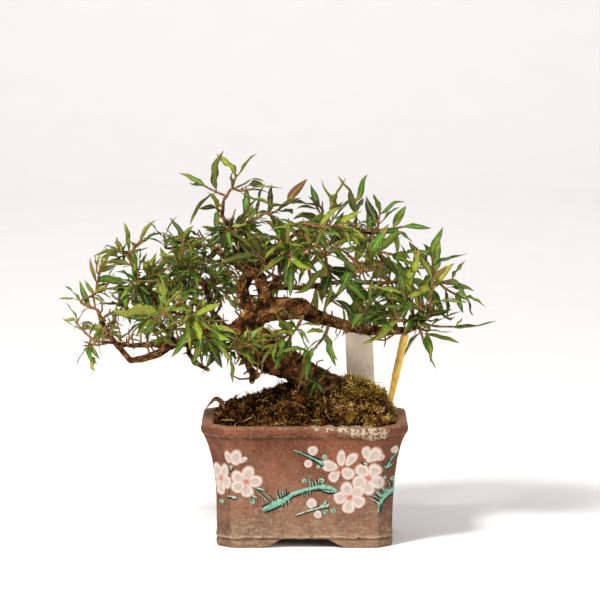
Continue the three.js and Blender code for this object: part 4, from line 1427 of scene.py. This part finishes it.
class Paint(Batch):
    """Enamel laid on the pot's front."""

    def __init__(self, tree):
        super().__init__()
        self.tree = tree
        self.layer = 0

    def on_face(self, x, z, lift):
        """The place in front of x and z on the clay, lifted off it."""
        origin = POT_MIDDLE + Vector((x * MM, -POT_HEIGHT, z * MM))
        place = self.tree.ray_cast(origin, Vector((0, 1, 0)))[0]
        if place is None:
            place = self.tree.find_nearest(origin + Vector((0, POT_HEIGHT / 2, 0)))[0]
        return place + Vector((0, -lift * MM, 0))

    def oval(self, x, z, length, width, angle, colours, squeeze=1.0):
        """A domed oval spot with one colour in its middle and one for each ring."""
        self.layer += 1
        raised = PAINT_LIFT + OVAL_STEP[0] * (self.layer % OVAL_STEP[1])
        turn = math.radians(angle)
        points = [self.on_face(x, z, raised)]
        paint = [colours[0]]
        rings = [*zip(OVAL_RINGS, colours[1:]), ((1.0, PAINT_SINK / raised), colours[-1])]
        for ((size, height), tone), corner in itertools.product(rings, range(OVAL_SIDES)):
            spin = math.tau * corner / OVAL_SIDES
            ragged = 1 + PETAL_WAVE * math.sin(3 * spin + self.layer)
            ahead = length * size * ragged * math.cos(spin)
            aside = width * size * ragged * math.sin(spin) * (1 + PETAL_FLARE * math.cos(spin))
            place_x = x + squeeze * (ahead * math.cos(turn) - aside * math.sin(turn))
            place_z = z + ahead * math.sin(turn) + aside * math.cos(turn)
            points.append(self.on_face(place_x, place_z, raised * height))
            paint.append(tone)
        faces = []
        for corner in range(OVAL_SIDES):
            following = (corner + 1) % OVAL_SIDES
            faces.append((0, 1 + corner, 1 + following))
            for start in range(1, 1 + (len(rings) - 1) * OVAL_SIDES, OVAL_SIDES):
                after = start + OVAL_SIDES
                faces.append((start + corner, after + corner, after + following, start + following))
        faces.append(tuple(reversed(range(len(points) - OVAL_SIDES, len(points)))))
        self.add(points, faces, paint=paint)

    def stroke(self, tone, line, raised=PAINT_LIFT):
        """A domed brush stroke along points of x, height and half width."""
        self.layer += 1
        raised += STROKE_STEP[0] * (self.layer % STROKE_STEP[1])
        path = smooth_line([Vector(point) for point in line], 6)
        last = len(path) - 1
        points = []
        for index, station in enumerate(path):
            ahead = path[min(index + 1, last)] - path[max(index - 1, 0)]
            side = Vector((-ahead.y, ahead.x)).normalized()
            width = max(station.z, STROKE_LEAST) * (STROKE_END if index in (0, last) else 1)
            for share, height in STROKE_SECTION:
                lift = PAINT_SINK if height is None else raised * height
                place = Vector((station.x, station.y)) + side * width * share
                points.append(self.on_face(place.x, place.y, lift))
        self.add(points, bar_faces(len(path), len(STROKE_SECTION)), paint=tone)

    def petal(self, x, z, length, width, angle, squeeze=1.0):
        self.oval(x, z, PETAL_SPREAD * length, PETAL_SPREAD * width, angle, PETAL_TONES, squeeze)

    def flower(self, x, z, reach, angles, squeeze=1.0):
        """Five petals round a red ring with short stamens."""
        for angle in angles:
            turn = math.radians(angle)
            petal_x = x + squeeze * reach * math.cos(turn)
            length, width = (share * reach for share in PETAL_SHARES)
            self.petal(petal_x, z + reach * math.sin(turn), length, width, angle, squeeze)
        for index in range(STAMENS):
            turn = math.tau * (index + 0.3) / STAMENS
            way = Vector((squeeze * math.cos(turn), math.sin(turn)))
            near = Vector((x, z)) + STAMEN_START * way
            far = Vector((x, z)) + between(*STAMEN_END, (index * 7 % STAMENS) / STAMENS) * way
            self.stroke(BLUSH, [(*near, STAMEN_WIDTHS[0]), (*far, STAMEN_WIDTHS[1])], INK_LIFT)
        self.oval(x, z, HEART, HEART, 0, HEART_TONES, squeeze)


def make_paint(pot, petal_paint, branch_paint):
    tree = tree_of(pot)
    blossoms = Paint(tree)
    for flower in FLOWERS:
        blossoms.flower(*flower)
    blossoms.flower(*CORNER_FLOWER, CORNER_SQUEEZE)
    for petal in PETALS:
        blossoms.petal(*petal)
    for x, z, radius in BUDS:
        blossoms.petal(x, z, radius, radius, 0)
    blossoms.stroke(STAMEN_RED, RED_HEART, HEART_LIFT)
    branches = Paint(tree)
    aside, down = SHADOW_SHIFT
    for _, line in STROKES:
        branches.stroke(INK, [(x + aside, z + down, width + SHADOW_WIDTH) for x, z, width in line])
    for spike in SPIKES:
        ends = (spike[:2], spike[2:])
        branches.stroke(INK, [(x + shift, z, width) for (x, z), (shift, width) in zip(ends, SPIKE_SHADOW)])
        branches.stroke(PALE_GREEN, [(*end, width) for end, width in zip(ends, SPIKE_WIDTHS)], SPIKE_LIFT)
    for tone, line in STROKES:
        branches.stroke(tone, line, BRANCH_LIFT)
    for x, z, radius in RINGS:
        branches.oval(x, z, radius, radius, 0, RING_TONES)
    for x, z, width, end_x, end_z, end_width in INK_LINES:
        line = [(x, z, width * INK_WIDTH), (end_x, end_z, end_width * INK_WIDTH)]
        branches.stroke(INK, line, INK_LIFT)
    batch_piece("painted_blossoms", blossoms, [petal_paint])
    batch_piece("painted_branches", branches, [branch_paint])


# Stake and label

CANE_RIPPLE = 0.12
LABEL_BEVEL = 0.3
FLAT_ENOUGH = 0.02


def make_cane(material):
    piece = remeshed("cane", "stake")

    def rise(point, _):
        return CANE_RIPPLE * fractal(Vector((point.x, point.y, point.z * 0.1)), 1.2, 2)

    raise_surface(piece, rise)
    return dress(piece, [material], ["stake"])


def make_label(material):
    """The label with rounded edges."""
    solid = welded("label")
    bmesh.ops.dissolve_limit(solid, angle_limit=FLAT_ENOUGH, verts=solid.verts, edges=solid.edges)
    bmesh.ops.bevel(
        solid, geom=solid.edges, offset=LABEL_BEVEL * MM, segments=2, affect="EDGES", profile=0.5,
    )
    return dress(piece_of("plain_label", solid), [material], ["label"])


# Stage, lights and camera

# The lights, in metres and watts: place, what they point at, size, power and colour.
LIGHTS = [
    ("key", (-0.9, -1.1, 1.5), (0, 0, 0.12), 0.4, 52, (1.0, 0.96, 0.9)),
    ("fill", (1.3, -1.2, 0.7), (0, 0, 0.12), 0.9, 14, (1.0, 0.98, 0.95)),
    ("backdrop", (0, 1.6, 1.6), (0, 3.0, 0.3), 1.2, 7, (1.0, 0.975, 0.95)),
]
WORLD_COLOUR = (1.0, 0.985, 0.97, 1)
WORLD_STRENGTH = 0.54
# The floor's half width, its ends and the bend up to its backdrop, in metres.
SWEEP_HALF_WIDTH = 4.0
SWEEP_FRONT = -6.0
SWEEP_BACK = 3.2
SWEEP_RADIUS = 1.0
SWEEP_TOP = 4.0
SWEEP_STEPS = 24


def make_stage(material):
    """A floor that curves up into a backdrop."""
    profile = [(SWEEP_FRONT, 0)]
    for step in range(SWEEP_STEPS + 1):
        angle = math.pi / 2 * step / SWEEP_STEPS
        ahead = SWEEP_BACK - SWEEP_RADIUS + SWEEP_RADIUS * math.sin(angle)
        profile.append((ahead, SWEEP_RADIUS * (1 - math.cos(angle))))
    profile.append((SWEEP_BACK, SWEEP_TOP))
    points = [(side * SWEEP_HALF_WIDTH, y, z) for y, z in profile for side in (-1, 1)]
    faces = [(2 * i, 2 * i + 1, 2 * i + 3, 2 * i + 2) for i in range(len(profile) - 1)]
    mesh = bpy.data.meshes.new("sweep")
    mesh.from_pydata(points, [], faces)
    mesh.shade_smooth()
    mesh.materials.append(material)
    link("sweep", mesh)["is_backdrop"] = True


def make_lights():
    world = bpy.data.worlds.new("studio")
    world.use_nodes = True
    background = next(node for node in world.node_tree.nodes if node.type == "BACKGROUND")
    background.inputs["Color"].default_value = WORLD_COLOUR
    background.inputs["Strength"].default_value = WORLD_STRENGTH
    bpy.context.scene.world = world
    for name, place, target, size, power, tone in LIGHTS:
        light = bpy.data.lights.new(name, "AREA")
        light.shape = "DISK"
        light.size = size
        light.energy = power
        light.color = tone
        lamp = link(name, light)
        lamp.location = place
        lamp.rotation_euler = (Vector(target) - lamp.location).to_track_quat("-Z", "Y").to_euler()


def make_camera():
    data = bpy.data.cameras.new("camera")
    data.sensor_width = SENSOR
    data.lens = CAMERA_LENS
    data.clip_end = 30
    camera = link("camera", data)
    camera.location = POT_MIDDLE + Vector(CAMERA_PLACE) * MM
    camera.rotation_euler = (math.radians(90 - CAMERA_PITCH), 0, 0)
    bpy.context.scene.camera = camera
    bpy.context.scene.view_settings.view_transform = "Standard"


wood_tree = tree_of(NODES["trunk_and_branches"])
obstacles = [tree_of(NODES[node]) for node in ("trunk_and_branches", "pot", "moss", "stake", "label")]

make_camera()
make_lights()
make_stage(stage_material())
bark = bark_material()
moss_look = moss_material()
trunk = make_wood(bark)
make_spurs(trunk, bark)
leaf_look = leaf_material("leaf_blade", FRESH_LEAF, (190, 194, 104), (138, 136, 62), (128, 104, 36))
dry_look = leaf_material("dry_leaf", DRY_LEAF, (150, 110, 64), (120, 84, 44), DRY_LEAF[1][1])
make_foliage([leaf_look, twig_material()])
moss_bed = make_moss(moss_look)
make_tufts(moss_bed, moss_look)
make_litter(moss_bed, [dry_look])
pot = make_pot(clay_material())
petal_paint = enamel_material("petal_enamel", 1.3, (238, 228, 222), 0.42, 0.7)
branch_paint = enamel_material("branch_enamel", 1.5, (178, 182, 178), 0.48, 0.62)
make_paint(pot, petal_paint, branch_paint)
make_cane(cane_material())
make_label(label_material())
NODES["soil"].material_slots[0].material = soil_material()
NODES["drain_screen"].material_slots[0].material = screen_material()

boxes = {"cad": CAD_BOX, "visual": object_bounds()}
{name: [list(low), list(high)] for name, (low, high) in boxes.items()}
